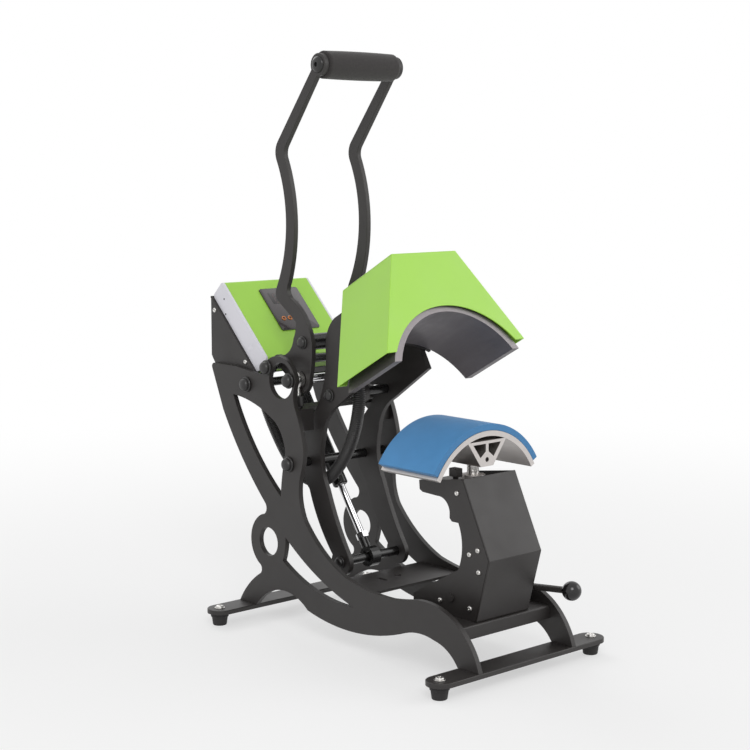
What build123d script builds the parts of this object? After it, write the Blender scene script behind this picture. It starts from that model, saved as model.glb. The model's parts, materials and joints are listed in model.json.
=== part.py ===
from build123d import *
import os
from math import cos, hypot, radians, sin, tan

# Cap heat press, modelled open, in millimetres.
# X runs across the press (left is -X), Y runs front to rear and Z is up from the floor.
# Outlines of the upright sheets are drawn in a side view whose origin is midway between the foot
# bolts, on top of the foot bars: first number to the rear, second number up.

os.makedirs("parts", exist_ok=True)

# --- Feet and base ---
foot_height = 14
foot_top_radius = 10
foot_bottom_radius = 7.8
bar_length = 250
bar_width = 30
bar_thickness = 5
bar_spacing = 352.4
foot_bolt_spacing = 222.8
foot_bolt_radius = 3
foot_bolt_head_radius = 4.5
foot_bolt_head_height = 3

# --- Frame ---
frame_gap = 132
plate_thickness = 6
sheet = 3
screw_head_radius = 2.7
screw_head_height = 1.6
ring_hole_radius = 16
base_plate_top = 49
base_plate_front = -27
base_plate_rear = 37
cross_plate_top = 38
cross_flange_drop = 14
rear_cross_top = 230
rear_cross_thickness = 4
rear_flange_drop = 24

# --- Shafts: centres in the side view, then radii ---
spring_pivot = (173.8, 249.7)
handle_pivot = (99, 261)
arm_pivot = (100, 169)
lobe_bolt_centre = (137, 272)
link_pivot = (64, 246)
lower_arm_pivot = (46.8, 64.7)
cross_tube_centre = (94.5, 301.8)
stop_pin_centre = (138.5, 277)
shaft_radius = 5
cap_height = 8
low_cap_height = 5.5
cap_overlap = 4
cap_radius = 8.5
running_clearance = 0.05
fit_clearance = 0.1
open_pivot_clearance = 2
link_eye_centre = (65.1, 244.7)

# --- Pressure adjusters ---
lobe_hole_centre = (113.5, 259.5)
lobe_hole_radius = 20
adjuster_x = 59.5
eye_thickness = 5
eye_radius = 9
adjuster_stem_radius = 3
knob_radius = 6.2
knob_height = 14
adjuster_nut_height = 5
adjuster_nut_radius = 5.5

# --- Arms and upper head ---
arm_gap = 76
arm_thickness = 6
arm_boss_radius = 14
head_tilt = 29
head_axis_front = (-108.9, 264.3)
platen_radius = 90
platen_thickness = 9
platen_depth = 80
platen_foot_height = 41
cover_front_gap = 3.7
cover_depth = 87
cover_sheet = 1.5
cover_bottom_half_width = 99.3
cover_top_half_width = 46
cover_bottom = 50
cover_height = 107
cover_arch_half_width = 86
cover_arch_rise = 45.5
back_plate_thickness = 4
back_plate_bottom = 78
back_plate_top = 150
bracket_flange = 40
head_gland_height = 100

# --- Handle ---
handle_bar_gap = 100
handle_bar_thickness = 6
cross_tube_radius = 9
grip_centre = (67.5, 598)
grip_tube_radius = 10
foam_radius = 15
foam_end_gap = 0.3
grip_bolt_radius = 4

# --- Gas spring ---
spring_eye_radius = 9
spring_tube_radius = 8.5
spring_tube_end = 136.5
spring_bore_depth = 80
spring_rod_radius = 4
rod_inside = 60

# --- Lower platen and pedestal ---
pedestal_width = 76
pedestal_sheet = 3
pad_radius = 88
pad_thickness = 7
pad_axis_height = 145
pad_end_angle = 59
platen_end_angle = 61.5
platen_shell = 5.5
lower_platen_front = -130
lower_platen_depth = 82
web_bottom = 189.6
stud_y = -110
stud_radius = 6
stud_socket_depth = 10
top_plate_top = 171
top_plate_front = -126
top_plate_rear = -71
top_plate_thickness = 3
nut_radius = 12.5
nut_height = 8

# --- Tension lever ---
lever_pivot = (-118, 57)
lever_axle_radius = 4
lever_hub_radius = 9
lever_hub_width = 10
lever_rod_radius = 3.5
ball_centre = (-205.8, 66.2)
ball_radius = 10
clamp_x = -19
clamp_y = -104
clamp_rod_radius = 3
clamp_travel = 6

# --- Control box ---
box_half_width = 60
box_panel = 3
box_top_front = (229.2, 361.4)
box_bottom_front = (148.3, 279.8)
box_depth = 24.5
back_sheet = 2
display_centre = (8, 47)
display_size = (56, 62)
display_thickness = 1.5
button_radius = 3
button_row = 61.5
button_xs = (-9, 0, 9, 18)
button_gap = 0.3
button_rise = 1.2

# --- Conduit ---
conduit_x = -26
conduit_radius = 7
conduit_bore = 5
conduit_ribs = 40
bore_steps = 40
rib_depth = 1
gland_radius = 9.5
gland_length = 10

# --- Places worked out from the sizes above ---
bar_top = foot_height + bar_thickness
plate_inner = frame_gap / 2
plate_outer = plate_inner + plate_thickness
arm_inner = arm_gap / 2
arm_outer = arm_inner + arm_thickness
bar_inner = handle_bar_gap / 2
bar_outer = bar_inner + handle_bar_thickness
bore_radius = shaft_radius + running_clearance


def side_plane(x):
    """Plane across X: local x to the rear, local y up from the foot bars."""
    return Plane(origin=(x, mid_y, bar_top), x_dir=(0, 1, 0), z_dir=(1, 0, 0))


def level_plane(height):
    """Level plane: local x across, local y to the rear, at a height above the foot bars."""
    return Plane(origin=(0, mid_y, bar_top + height))


def front_plane(y):
    """Upright plane facing the front: local x across, local y up, at a place along the press."""
    return Plane(origin=(0, mid_y + y, bar_top), x_dir=(1, 0, 0), z_dir=(0, -1, 0))


def toward(start, end):
    """Unit vector between two points of the side view."""
    length = hypot(end[0] - start[0], end[1] - start[1])
    return ((end[0] - start[0]) / length, (end[1] - start[1]) / length)


def finish(piece, name):
    """Name a finished piece and write it."""
    piece.part.label = name
    export_step(piece.part, f"parts/{name}.step")


def draw_arcs(arcs):
    """Draw arcs, each given by its start, a point on the way and its end."""
    for start, middle, end in arcs:
        ThreePointArc(start, middle, end)


def make_shafts(name, pivots, radius, half_length):
    """Round shafts across the press."""
    with BuildPart() as shaft:
        with BuildSketch(side_plane(-half_length)):
            with Locations(*pivots):
                Circle(radius)
        extrude(amount=2 * half_length)
        chamfer(shaft.edges().filter_by(GeomType.CIRCLE), length=0.5)
    finish(shaft, name)


def make_caps(name, pivots, inner_x, radius, shaft_end_radius, height=cap_height):
    """Caps on both ends of each shaft, with the shaft end in a blind bore."""
    with BuildPart() as caps:
        for side in (-1, 1):
            with BuildSketch(side_plane(side * inner_x)):
                with Locations(*pivots):
                    Circle(radius)
            extrude(amount=side * height)
        crowns = caps.faces().filter_by(lambda face: abs(face.center().X) > inner_x + height - 0.01)
        chamfer(crowns.edges(), length=0.45 * height)
        for side in (-1, 1):
            with BuildSketch(side_plane(side * inner_x)):
                with Locations(*pivots):
                    Circle(shaft_end_radius + fit_clearance)
            extrude(amount=side * cap_overlap, mode=Mode.SUBTRACT)
    finish(caps, name)


box_slope = toward(box_bottom_front, box_top_front)


def behind_face(point):
    """Side view point at the back of the box behind a point of its front."""
    return (point[0] + box_depth * box_slope[1], point[1] - box_depth * box_slope[0])


box_top_rear = behind_face(box_top_front)
box_bottom_rear = behind_face(box_bottom_front)
front_end = ball_centre[0] - ball_radius
rear_end = box_top_rear[0] + back_sheet * box_slope[1]
mid_y = -(front_end + rear_end) / 2

# --- Feet ---

with BuildPart() as foot_bars:
    with BuildSketch(level_plane(-bar_thickness)):
        with GridLocations(0, bar_spacing, 1, 2):
            SlotOverall(bar_length, bar_width)
        with GridLocations(foot_bolt_spacing, bar_spacing, 2, 2):
            Circle(foot_bolt_radius + fit_clearance, mode=Mode.SUBTRACT)
    extrude(amount=bar_thickness)
    chamfer([face.outer_wire().edges() for face in foot_bars.faces().group_by(Axis.Z)[-1]], length=0.6)
finish(foot_bars, "foot_bars")

with BuildPart() as rubber_feet:
    for x in (-foot_bolt_spacing / 2, foot_bolt_spacing / 2):
        for y in (-bar_spacing / 2, bar_spacing / 2):
            with BuildSketch(Plane.XY):
                with Locations((x, mid_y + y)):
                    Circle(foot_bottom_radius)
            with BuildSketch(Plane.XY.offset(foot_height)):
                with Locations((x, mid_y + y)):
                    Circle(foot_top_radius)
            loft()
    with BuildSketch(level_plane(-bar_thickness)):
        with GridLocations(foot_bolt_spacing, bar_spacing, 2, 2):
            Circle(foot_bolt_radius + fit_clearance)
    extrude(amount=4 - foot_height, mode=Mode.SUBTRACT)
finish(rubber_feet, "rubber_feet")

with BuildPart() as foot_bolts:
    with BuildSketch(level_plane(0)):
        with GridLocations(foot_bolt_spacing, bar_spacing, 2, 2):
            Circle(foot_bolt_head_radius)
    extrude(amount=foot_bolt_head_height)
    chamfer(foot_bolts.faces().filter_by(Axis.Z).group_by(Axis.Z)[-1].edges(), length=1.2)
    with BuildSketch(level_plane(0)):
        with GridLocations(foot_bolt_spacing, bar_spacing, 2, 2):
            Circle(foot_bolt_radius)
    extrude(amount=-bar_thickness - foot_height + 6)
finish(foot_bolts, "foot_bolts")


# --- Side plates ---

def make_side_plate(name, x):
    """Cut-out side plate: rear leg, long front leg, ring, lens window, upper window and shaft lobe."""
    with BuildPart() as plate:
        with BuildSketch(side_plane(x)):
            with BuildLine():
                draw_arcs(
                    [
                        ((190, 0), (173, 22), (152, 38)),
                        ((152, 38), (149.7, 42.5), (151.5, 47.5)),
                        ((151.5, 47.5), (168.5, 77), (149, 105.8)),
                        ((149, 105.8), (140.8, 111.5), (142, 119)),
                        ((142, 119), (187, 170), (218, 217)),
                    ]
                )
                Line((218, 217), (238, 263))
                ThreePointArc((238, 263), (237.5, 267), (233.5, 268.6))
                Line((233.5, 268.6), (193, 268.4))
                Line((193, 268.4), (150, 262.8))
                draw_arcs(
                    [
                        ((150, 262.8), (146.2, 264.5), (145, 269)),
                        ((145, 269), (143.5, 277), (137, 280)),
                        ((137, 280), (114, 286), (88, 260)),
                        ((88, 260), (92.4, 245), (90.5, 233)),
                        ((90.5, 233), (80.5, 209), (75.5, 188)),
                        ((75.5, 188), (76.2, 176), (80, 162)),
                        ((80, 162), (83.3, 138), (75, 110)),
                        ((75, 110), (46, 81.5), (8, 60)),
                        ((8, 60), (-28, 52.8), (-65, 51)),
                        ((-65, 51), (-82, 53.3), (-98, 56.5)),
                        ((-98, 56.5), (-136, 54.5), (-165, 39)),
                        ((-165, 39), (-182, 19), (-190.5, 0)),
                    ]
                )
                Line((-190.5, 0), (-161, 0))
                draw_arcs(
                    [
                        ((-161, 0), (-148, 13), (-128, 20.5)),
                        ((-128, 20.5), (-107, 23.2), (-86, 19.5)),
                        ((-86, 19.5), (0, 2.8), (70, 11.4)),
                        ((70, 11.4), (107.3, 25.5), (141, 16.5)),
                        ((141, 16.5), (151.5, 9), (160, 0)),
                    ]
                )
                Line((160, 0), (190, 0))
            make_face()
            with BuildSketch(mode=Mode.SUBTRACT):
                with BuildLine():
                    draw_arcs(
                        [
                            ((199, 236), (158, 228.5), (124, 213)),
                            ((124, 213), (113, 200), (106.5, 181)),
                            ((106.5, 181), (112, 157), (115, 131)),
                            ((115, 131), (159, 173.5), (199, 236)),
                        ]
                    )
                make_face()
            with BuildSketch(mode=Mode.SUBTRACT):
                with BuildLine():
                    draw_arcs(
                        [
                            ((-5, 30), (52, 51.5), (107, 86)),
                            ((107, 86), (108, 73), (112, 59)),
                            ((112, 59), (60, 36.5), (-5, 30)),
                        ]
                    )
                make_face()
            with Locations((137, 76.6)):
                Circle(ring_hole_radius, mode=Mode.SUBTRACT)
            with Locations(lobe_hole_centre):
                Circle(lobe_hole_radius, mode=Mode.SUBTRACT)
            with Locations(spring_pivot, arm_pivot, lobe_bolt_centre):
                Circle(shaft_radius + fit_clearance, mode=Mode.SUBTRACT)
        extrude(amount=plate_thickness)
    finish(plate, name)


make_side_plate("left_side_plate", -plate_outer)
make_side_plate("right_side_plate", plate_inner)

# --- Sheets between the side plates ---
with BuildPart() as base_plate:
    with BuildSketch(level_plane(base_plate_top - sheet)):
        with Locations((0, (base_plate_front + base_plate_rear) / 2)):
            Rectangle(frame_gap, base_plate_rear - base_plate_front)
        with Locations((-18, 8)):
            SlotOverall(16, 5, rotation=90, mode=Mode.SUBTRACT)
        with Locations((6.7, 9.7)):
            Circle(4, mode=Mode.SUBTRACT)
    extrude(amount=sheet)
finish(base_plate, "base_plate")

with BuildPart() as front_cross_plate:
    with BuildSketch(side_plane(-plate_inner)):
        with BuildLine():
            Polyline(
                (-60, cross_plate_top),
                (-158, cross_plate_top),
                (-158, cross_plate_top - cross_flange_drop),
                (-158 + sheet, cross_plate_top - cross_flange_drop),
                (-158 + sheet, cross_plate_top - sheet),
                (-60, cross_plate_top - sheet),
                close=True,
            )
        make_face()
    extrude(amount=frame_gap)
    outer_bend = front_cross_plate.edges().filter_by(Axis.X).group_by(Axis.Y)[0].sort_by(Axis.Z)[-1]
    fillet(outer_bend, radius=2)
finish(front_cross_plate, "front_cross_plate")

rear_cross_front = handle_pivot[0] - 11
rear_cross_middle_front = 98
rear_cross_rear = 122
arm_clearance_x = arm_outer + 2.5

with BuildPart() as rear_cross_plate:
    with BuildSketch(level_plane(rear_cross_top - rear_cross_thickness)):
        with BuildLine():
            Polyline(
                (-plate_inner, rear_cross_rear),
                (-plate_inner, rear_cross_front),
                (-arm_clearance_x, rear_cross_front),
                (-arm_clearance_x, rear_cross_middle_front),
                (arm_clearance_x, rear_cross_middle_front),
                (arm_clearance_x, rear_cross_front),
                (plate_inner, rear_cross_front),
                (plate_inner, rear_cross_rear),
                close=True,
            )
        make_face()
        with Locations((-adjuster_x, handle_pivot[0]), (adjuster_x, handle_pivot[0])):
            Circle(adjuster_stem_radius + fit_clearance, mode=Mode.SUBTRACT)
    extrude(amount=rear_cross_thickness)
    with BuildSketch(front_plane(rear_cross_front)):
        for side in (-1, 1):
            with Locations((side * (plate_inner + arm_clearance_x) / 2, rear_cross_top - rear_flange_drop / 2)):
                Rectangle(plate_inner - arm_clearance_x, rear_flange_drop)
    extrude(amount=-sheet)
finish(rear_cross_plate, "rear_cross_plate")

# --- Fixed shafts and their caps ---
shaft_half_length = plate_outer + cap_overlap
frame_shaft_centres = [spring_pivot, arm_pivot, handle_pivot]
make_shafts("frame_shafts", [spring_pivot, arm_pivot], shaft_radius, shaft_half_length)
make_shafts("handle_shaft", [handle_pivot], shaft_radius, shaft_half_length)
make_caps("frame_caps", frame_shaft_centres + [lobe_bolt_centre], plate_outer, cap_radius, shaft_radius)

with BuildPart() as lobe_bolts:
    with BuildSketch(side_plane(plate_inner - 3)):
        with Locations(lobe_bolt_centre):
            Circle(shaft_radius)
    extrude(amount=plate_thickness + 3 + cap_overlap)
    with BuildSketch(side_plane(plate_inner - 3)):
        with Locations(lobe_bolt_centre):
            Circle(cap_radius - 2)
    extrude(amount=3)
    mirror(about=Plane.YZ)
finish(lobe_bolts, "lobe_bolts")

# --- Pressure adjusters: an eye round the handle shaft on a threaded stem, with a knurled knob ---
stem_bottom = rear_cross_top - rear_cross_thickness - adjuster_nut_height - 4

with BuildPart() as eye_bolts:
    with BuildSketch(side_plane(adjuster_x - eye_thickness / 2)):
        with Locations(handle_pivot):
            Circle(eye_radius)
            Circle(shaft_radius + fit_clearance, mode=Mode.SUBTRACT)
    extrude(amount=eye_thickness)
    with BuildSketch(level_plane(stem_bottom)):
        with Locations((adjuster_x, handle_pivot[0])):
            Circle(adjuster_stem_radius)
    extrude(amount=handle_pivot[1] - eye_radius + 1.5 - stem_bottom)
    with BuildSketch(level_plane(rear_cross_top - rear_cross_thickness)):
        with Locations((adjuster_x, handle_pivot[0])):
            RegularPolygon(adjuster_nut_radius, 6)
            Circle(adjuster_stem_radius + fit_clearance, mode=Mode.SUBTRACT)
    extrude(amount=-adjuster_nut_height)
    mirror(about=Plane.YZ)
finish(eye_bolts, "eye_bolts")


def make_adjuster_knob(name, x):
    """Knurled knob seated on the rear cross plate, round the stem."""
    with BuildPart() as knob:
        with BuildSketch(level_plane(rear_cross_top)):
            with Locations((x, handle_pivot[0])):
                Circle(knob_radius)
                with PolarLocations(knob_radius + 0.4, 12):
                    Circle(1, mode=Mode.SUBTRACT)
                Circle(adjuster_stem_radius + running_clearance, mode=Mode.SUBTRACT)
        extrude(amount=knob_height)
    finish(knob, name)


make_adjuster_knob("left_adjuster_knob", -adjuster_x)
make_adjuster_knob("right_adjuster_knob", adjuster_x)

# --- Pedestal ---
pedestal_inner = pedestal_width / 2 - pedestal_sheet
pedestal_front_points = [(-132, 181), (-169.5, 103.5), (-152, cross_plate_top)]


with BuildPart() as pedestal_side_plates:
    for x in (-pedestal_width / 2, pedestal_inner):
        with BuildSketch(side_plane(x)):
            with BuildLine():
                Polyline(*pedestal_front_points)
                Polyline(
                    (-152, cross_plate_top),
                    (-62, cross_plate_top),
                    (-62, 51.2),
                    (-127.1, 87.4),
                )
                ThreePointArc((-127.1, 87.4), (-132.5, 112), (-127, 135.8))
                Polyline((-127, 135.8), (-117.7, 135.8), (-114.5, 139), (-114.5, 145.2))
                ThreePointArc((-114.5, 145.2), (-108.5, 155.8), (-96.8, 159.1))
                Polyline((-96.8, 159.1), (-74.9, 160), (-70.6, 162.4), (-69.7, 172), (-132, 181))
            make_face()
            with Locations(lever_pivot):
                Circle(lever_axle_radius + running_clearance, mode=Mode.SUBTRACT)
        extrude(amount=pedestal_sheet)
finish(pedestal_side_plates, "pedestal_side_plates")

with BuildPart() as pedestal_front_cover:
    with BuildSketch(side_plane(-pedestal_width / 2)):
        with BuildLine():
            folded = Polyline(*pedestal_front_points)
            offset(folded, amount=2, side=Side.RIGHT)
        make_face()
    extrude(amount=pedestal_width)
    split(bisect_by=level_plane(cross_plate_top), keep=Keep.TOP)
finish(pedestal_front_cover, "pedestal_front_cover")

with BuildPart() as pedestal_top_plate:
    with BuildSketch(level_plane(top_plate_top - top_plate_thickness)):
        with Locations((0, (top_plate_front + top_plate_rear) / 2)):
            Rectangle(2 * pedestal_inner, top_plate_rear - top_plate_front)
        with Locations((0, stud_y)):
            Circle(stud_radius + 0.5, mode=Mode.SUBTRACT)
        with Locations((clamp_x, clamp_y)):
            Circle(clamp_rod_radius + 0.3, mode=Mode.SUBTRACT)
    extrude(amount=top_plate_thickness)
finish(pedestal_top_plate, "pedestal_top_plate")

pedestal_screw_places = [(-125, 166), (-143.2, 106), (-154.9, 112), (-156.4, 90), (-101.7, 51.2), (-144.5, 50.7)]

# --- Lower platen: arched extrusion with a hollow web and a boss, under a silicone pad ---
platen_radius_top = pad_radius - pad_thickness
platen_front_plane = front_plane(lower_platen_front)


def draw_arch(inner, outer, half_angle):
    """Outline of an arch between two radii, symmetric about the top, round the pad's axis."""
    side = radians(half_angle)
    inner_end = (inner * sin(side), pad_axis_height + inner * cos(side))
    outer_end = (outer * sin(side), pad_axis_height + outer * cos(side))
    ThreePointArc((-outer_end[0], outer_end[1]), (0, pad_axis_height + outer), outer_end)
    Line(outer_end, inner_end)
    ThreePointArc(inner_end, (0, pad_axis_height + inner), (-inner_end[0], inner_end[1]))
    Line((-inner_end[0], inner_end[1]), (-outer_end[0], outer_end[1]))


boss_height = web_bottom + 7

with BuildPart() as lower_platen:
    with BuildSketch(platen_front_plane):
        with BuildLine():
            draw_arch(platen_radius_top - platen_shell, platen_radius_top, platen_end_angle)
        make_face()
        with BuildSketch(mode=Mode.ADD):
            with BuildLine():
                Polyline((-28, 216), (28, 216), (9, web_bottom), (-9, web_bottom), close=True)
            make_face()
        for side in (-1, 1):
            with BuildSketch(mode=Mode.SUBTRACT):
                with BuildLine():
                    Polyline((side * 2, 213), (side * 20, 213), (side * 9.5, 199), (side * 2, 205), close=True)
                make_face()
        with Locations((0, boss_height)):
            Circle(2.5, mode=Mode.SUBTRACT)
    extrude(amount=-lower_platen_depth)
    with BuildSketch(level_plane(web_bottom)):
        with Locations((0, stud_y)):
            Circle(stud_radius + fit_clearance)
    extrude(amount=stud_socket_depth, mode=Mode.SUBTRACT)
finish(lower_platen, "lower_platen")

with BuildPart() as silicone_pad:
    with BuildSketch(platen_front_plane):
        with BuildLine():
            draw_arch(platen_radius_top + fit_clearance, pad_radius, pad_end_angle)
        make_face()
    extrude(amount=-lower_platen_depth)
    fillet(silicone_pad.edges().filter_by(Axis.Y).group_by(Axis.Z)[-1], radius=1)
finish(silicone_pad, "silicone_pad")

with BuildPart() as platen_stud:
    with BuildSketch(level_plane(top_plate_top - 22)):
        with Locations((0, stud_y)):
            Circle(stud_radius)
    extrude(amount=web_bottom + stud_socket_depth - 0.2 - top_plate_top + 22)
    chamfer(platen_stud.edges().group_by(Axis.Z)[0], length=1)
finish(platen_stud, "platen_stud")

with BuildPart() as pressure_nut:
    with BuildSketch(level_plane(top_plate_top)):
        with Locations((0, stud_y)):
            Circle(nut_radius)
            with PolarLocations(nut_radius + 1.2, 4):
                Circle(3, mode=Mode.SUBTRACT)
            Circle(stud_radius + running_clearance, mode=Mode.SUBTRACT)
    extrude(amount=nut_height)
finish(pressure_nut, "pressure_nut")

# --- Cap clamp block and tension lever ---
with BuildPart() as clamp_block:
    with BuildSketch(level_plane(top_plate_top + clamp_travel + 1)):
        with Locations((clamp_x, clamp_y)):
            RectangleRounded(9, 12, 1.5)
    extrude(amount=web_bottom - top_plate_top - clamp_travel - 4)
    with BuildSketch(level_plane(top_plate_top + clamp_travel + 1)):
        with Locations((clamp_x, clamp_y)):
            Circle(clamp_rod_radius)
    extrude(amount=-30)
finish(clamp_block, "clamp_block")

lever_hub_inner = pedestal_width / 2 + 3
lever_hub_outer = lever_hub_inner + lever_hub_width
lever_x = lever_hub_inner + lever_hub_width / 2

rod_direction = toward(lever_pivot, ball_centre)
rod_length = hypot(ball_centre[0] - lever_pivot[0], ball_centre[1] - lever_pivot[1])
rod_plane = Plane(
    origin=(lever_x, mid_y + lever_pivot[0], bar_top + lever_pivot[1]),
    x_dir=(1, 0, 0),
    z_dir=(0, rod_direction[0], rod_direction[1]),
)

with BuildPart() as tension_lever:
    with BuildSketch(side_plane(lever_hub_inner)):
        with Locations(lever_pivot):
            Circle(lever_hub_radius)
    extrude(amount=lever_hub_width)
    fillet(tension_lever.edges(), radius=1)
    with BuildSketch(rod_plane):
        Circle(lever_rod_radius)
    extrude(amount=rod_length - ball_radius + 4)
    with BuildSketch(side_plane(-pedestal_width / 2 - 2)):
        with Locations(lever_pivot):
            Circle(lever_axle_radius)
    extrude(amount=pedestal_width / 2 + 2 + lever_hub_outer + 3)
finish(tension_lever, "tension_lever")

with BuildPart() as lever_ball:
    with Locations((lever_x, mid_y + ball_centre[0], bar_top + ball_centre[1])):
        Sphere(ball_radius)
    with BuildSketch(rod_plane.offset(rod_length - ball_radius - 2)):
        Circle(lever_rod_radius + fit_clearance)
    extrude(amount=6.2, mode=Mode.SUBTRACT)
finish(lever_ball, "lever_ball")

# --- Control box ---
box_face = Plane(
    origin=(0, mid_y + box_top_front[0], bar_top + box_top_front[1]),
    x_dir=(1, 0, 0),
    z_dir=(0, -box_slope[1], box_slope[0]),
)
box_normal = Axis(box_face.origin, box_face.z_dir)
box_outer = box_half_width + box_panel


box_back = Plane(
    origin=(0, mid_y + box_bottom_rear[0], bar_top + box_bottom_rear[1]),
    x_dir=(1, 0, 0),
    z_dir=(0, box_slope[1], -box_slope[0]),
)
inlet_centre = (24, -62)
inlet_size = (24, 19)
inlet_pin_length = 4.5
switch_centre = (-26, -82)
switch_size = (13, 19)
rocker_gap = 0.9
gland_centre = (conduit_x, -25)

with BuildPart() as box_cover:
    with BuildSketch(side_plane(-box_half_width)):
        with BuildLine():
            folded = FilletPolyline(box_top_rear, box_top_front, box_bottom_front, box_bottom_rear, radius=4)
            offset(folded, amount=cover_sheet, side=Side.LEFT)
        make_face()
    extrude(amount=2 * box_half_width)
    with BuildSketch(box_face):
        with Locations(*[(x, -button_row) for x in button_xs]):
            Circle(button_radius + button_gap)
    extrude(amount=-2 * cover_sheet, mode=Mode.SUBTRACT)
finish(box_cover, "box_cover")


with BuildPart() as box_side_panels:
    for x in (-box_outer, box_half_width):
        with BuildSketch(side_plane(x)) as panel_outline:
            with BuildLine():
                Polyline(box_top_rear, box_top_front, box_bottom_front, box_bottom_rear, close=True)
            make_face()
            fillet(panel_outline.vertices(), radius=4)
        extrude(amount=box_panel)
finish(box_side_panels, "box_side_panels")

with BuildPart() as box_bracket:
    for x in (-plate_inner, box_outer):
        with BuildSketch(side_plane(x)):
            with BuildLine():
                Polyline(
                    box_top_rear,
                    (box_top_rear[0], 276.4),
                    (240.2, 267.8),
                    (236, 240),
                    (163, 240),
                    box_bottom_rear,
                    close=True,
                )
            make_face()
            with Locations(spring_pivot):
                Circle(shaft_radius + fit_clearance, mode=Mode.SUBTRACT)
        extrude(amount=plate_inner - box_outer)
    back_length = hypot(box_top_rear[0] - box_bottom_rear[0], box_top_rear[1] - box_bottom_rear[1])
    with BuildSketch(box_back):
        with Locations((0, -back_length / 2)):
            Rectangle(2 * plate_inner, back_length)
        with Locations(inlet_centre):
            Rectangle(*inlet_size, mode=Mode.SUBTRACT)
        with Locations(switch_centre):
            Rectangle(*switch_size, mode=Mode.SUBTRACT)
        with Locations(gland_centre):
            Circle(conduit_bore, mode=Mode.SUBTRACT)
    extrude(amount=back_sheet)
finish(box_bracket, "box_bracket")

with BuildPart() as display_panel:
    with BuildSketch(box_face):
        with Locations((display_centre[0], -display_centre[1])):
            RectangleRounded(*display_size, 3)
        with Locations(*[(x, -button_row) for x in button_xs]):
            Circle(button_radius + button_gap, mode=Mode.SUBTRACT)
    extrude(amount=display_thickness)
finish(display_panel, "display_panel")

for number, x in enumerate(button_xs, start=1):
    with BuildPart() as panel_button:
        with BuildSketch(box_face.offset(-4)):
            with Locations((x, -button_row)):
                Circle(button_radius)
        extrude(amount=4 + display_thickness + button_rise)
        fillet(panel_button.faces().sort_by(box_normal)[-1].edges(), radius=0.5)
    finish(panel_button, f"panel_button_{number}")

with BuildPart() as panel_screws:
    with BuildSketch(side_plane(plate_inner)):
        with Locations((239.3, 328.2), (183, 273.5)):
            Circle(screw_head_radius)
    extrude(amount=screw_head_height)
    with BuildSketch(side_plane(pedestal_width / 2)):
        with Locations(*pedestal_screw_places):
            Circle(screw_head_radius)
    extrude(amount=screw_head_height)
    mirror(about=Plane.YZ)
finish(panel_screws, "panel_screws")

with BuildPart() as power_inlet:
    with BuildSketch(box_back.offset(back_sheet)):
        with Locations(inlet_centre):
            RectangleRounded(inlet_size[0] + 7, inlet_size[1] + 5, 2)
    extrude(amount=2)
    with BuildSketch(box_back.offset(back_sheet)):
        with Locations(inlet_centre):
            Rectangle(inlet_size[0] - 0.4, inlet_size[1] - 0.4)
    extrude(amount=-15)
    with BuildSketch(box_back.offset(back_sheet + 2)):
        with Locations(inlet_centre):
            Rectangle(inlet_size[0] - 4, inlet_size[1] - 5)
    extrude(amount=-12, mode=Mode.SUBTRACT)
    with BuildSketch(box_back.offset(back_sheet - 10)):
        with Locations((inlet_centre[0] - 6, inlet_centre[1]), (inlet_centre[0] + 6, inlet_centre[1])):
            Rectangle(2, 4)
        with Locations((inlet_centre[0], inlet_centre[1] + 3)):
            Rectangle(2, 4)
    extrude(amount=inlet_pin_length)
    with BuildSketch(box_back.offset(back_sheet)):
        with Locations(switch_centre):
            RectangleRounded(switch_size[0] + 4, switch_size[1] + 4, 1.5)
            Rectangle(switch_size[0] - 3, switch_size[1] - 3, mode=Mode.SUBTRACT)
    extrude(amount=1.5)
    with BuildSketch(box_back.offset(back_sheet)):
        with Locations(switch_centre):
            Rectangle(switch_size[0] - 0.4, switch_size[1] - 0.4)
            Rectangle(switch_size[0] - 3, switch_size[1] - 3, mode=Mode.SUBTRACT)
    extrude(amount=-12)
    with BuildSketch(box_back.offset(back_sheet - 12)):
        with Locations(switch_centre):
            Rectangle(switch_size[0] - 0.4, switch_size[1] - 0.4)
    extrude(amount=4)
finish(power_inlet, "power_inlet")

with BuildPart() as power_rocker:
    with BuildSketch(box_back.offset(back_sheet - 4)):
        with Locations(switch_centre):
            Rectangle(switch_size[0] - 3.6, switch_size[1] - 3 - 2 * rocker_gap)
    extrude(amount=7)
    fillet(power_rocker.edges().filter_by(Axis.X), radius=1)
finish(power_rocker, "power_rocker")

# --- Upper head ---
head_cos = cos(radians(head_tilt))
head_sin = sin(radians(head_tilt))


def head_point(depth, height):
    """Side view point of the tilted head: depth behind its front, height square to that."""
    return (
        head_axis_front[0] + depth * head_cos + height * head_sin,
        head_axis_front[1] - depth * head_sin + height * head_cos,
    )


def head_plane(depth):
    """Plane facing the head's front: local x across, local y along the head's height."""
    y, z = head_point(depth, 0)
    return Plane(origin=(0, mid_y + y, bar_top + z), x_dir=(1, 0, 0), z_dir=(0, -head_cos, head_sin))


cover_top = cover_bottom + cover_height
cover_slope = (cover_bottom_half_width - cover_top_half_width) / cover_height
cover_arch_radius = (cover_arch_half_width**2 + cover_arch_rise**2) / (2 * cover_arch_rise)
cover_arch_centre = cover_bottom + cover_arch_rise - cover_arch_radius
cover_rear = cover_depth - cover_front_gap
arms_front = cover_rear + back_plate_thickness


def cover_half_width(height):
    return cover_bottom_half_width - cover_slope * (height - cover_bottom)


def draw_trapezoid(bottom, top, inset):
    """Outline of the cover's cross section between two heights, drawn in by a wall."""
    low = cover_half_width(bottom) - inset
    high = cover_half_width(top) - inset
    Polyline((-low, bottom), (low, bottom), (high, top), (-high, top), close=True)


side_wall = cover_sheet * (1 + cover_slope**2) ** 0.5
head_up = Axis(head_plane(0).origin, head_plane(0).y_dir)

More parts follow.
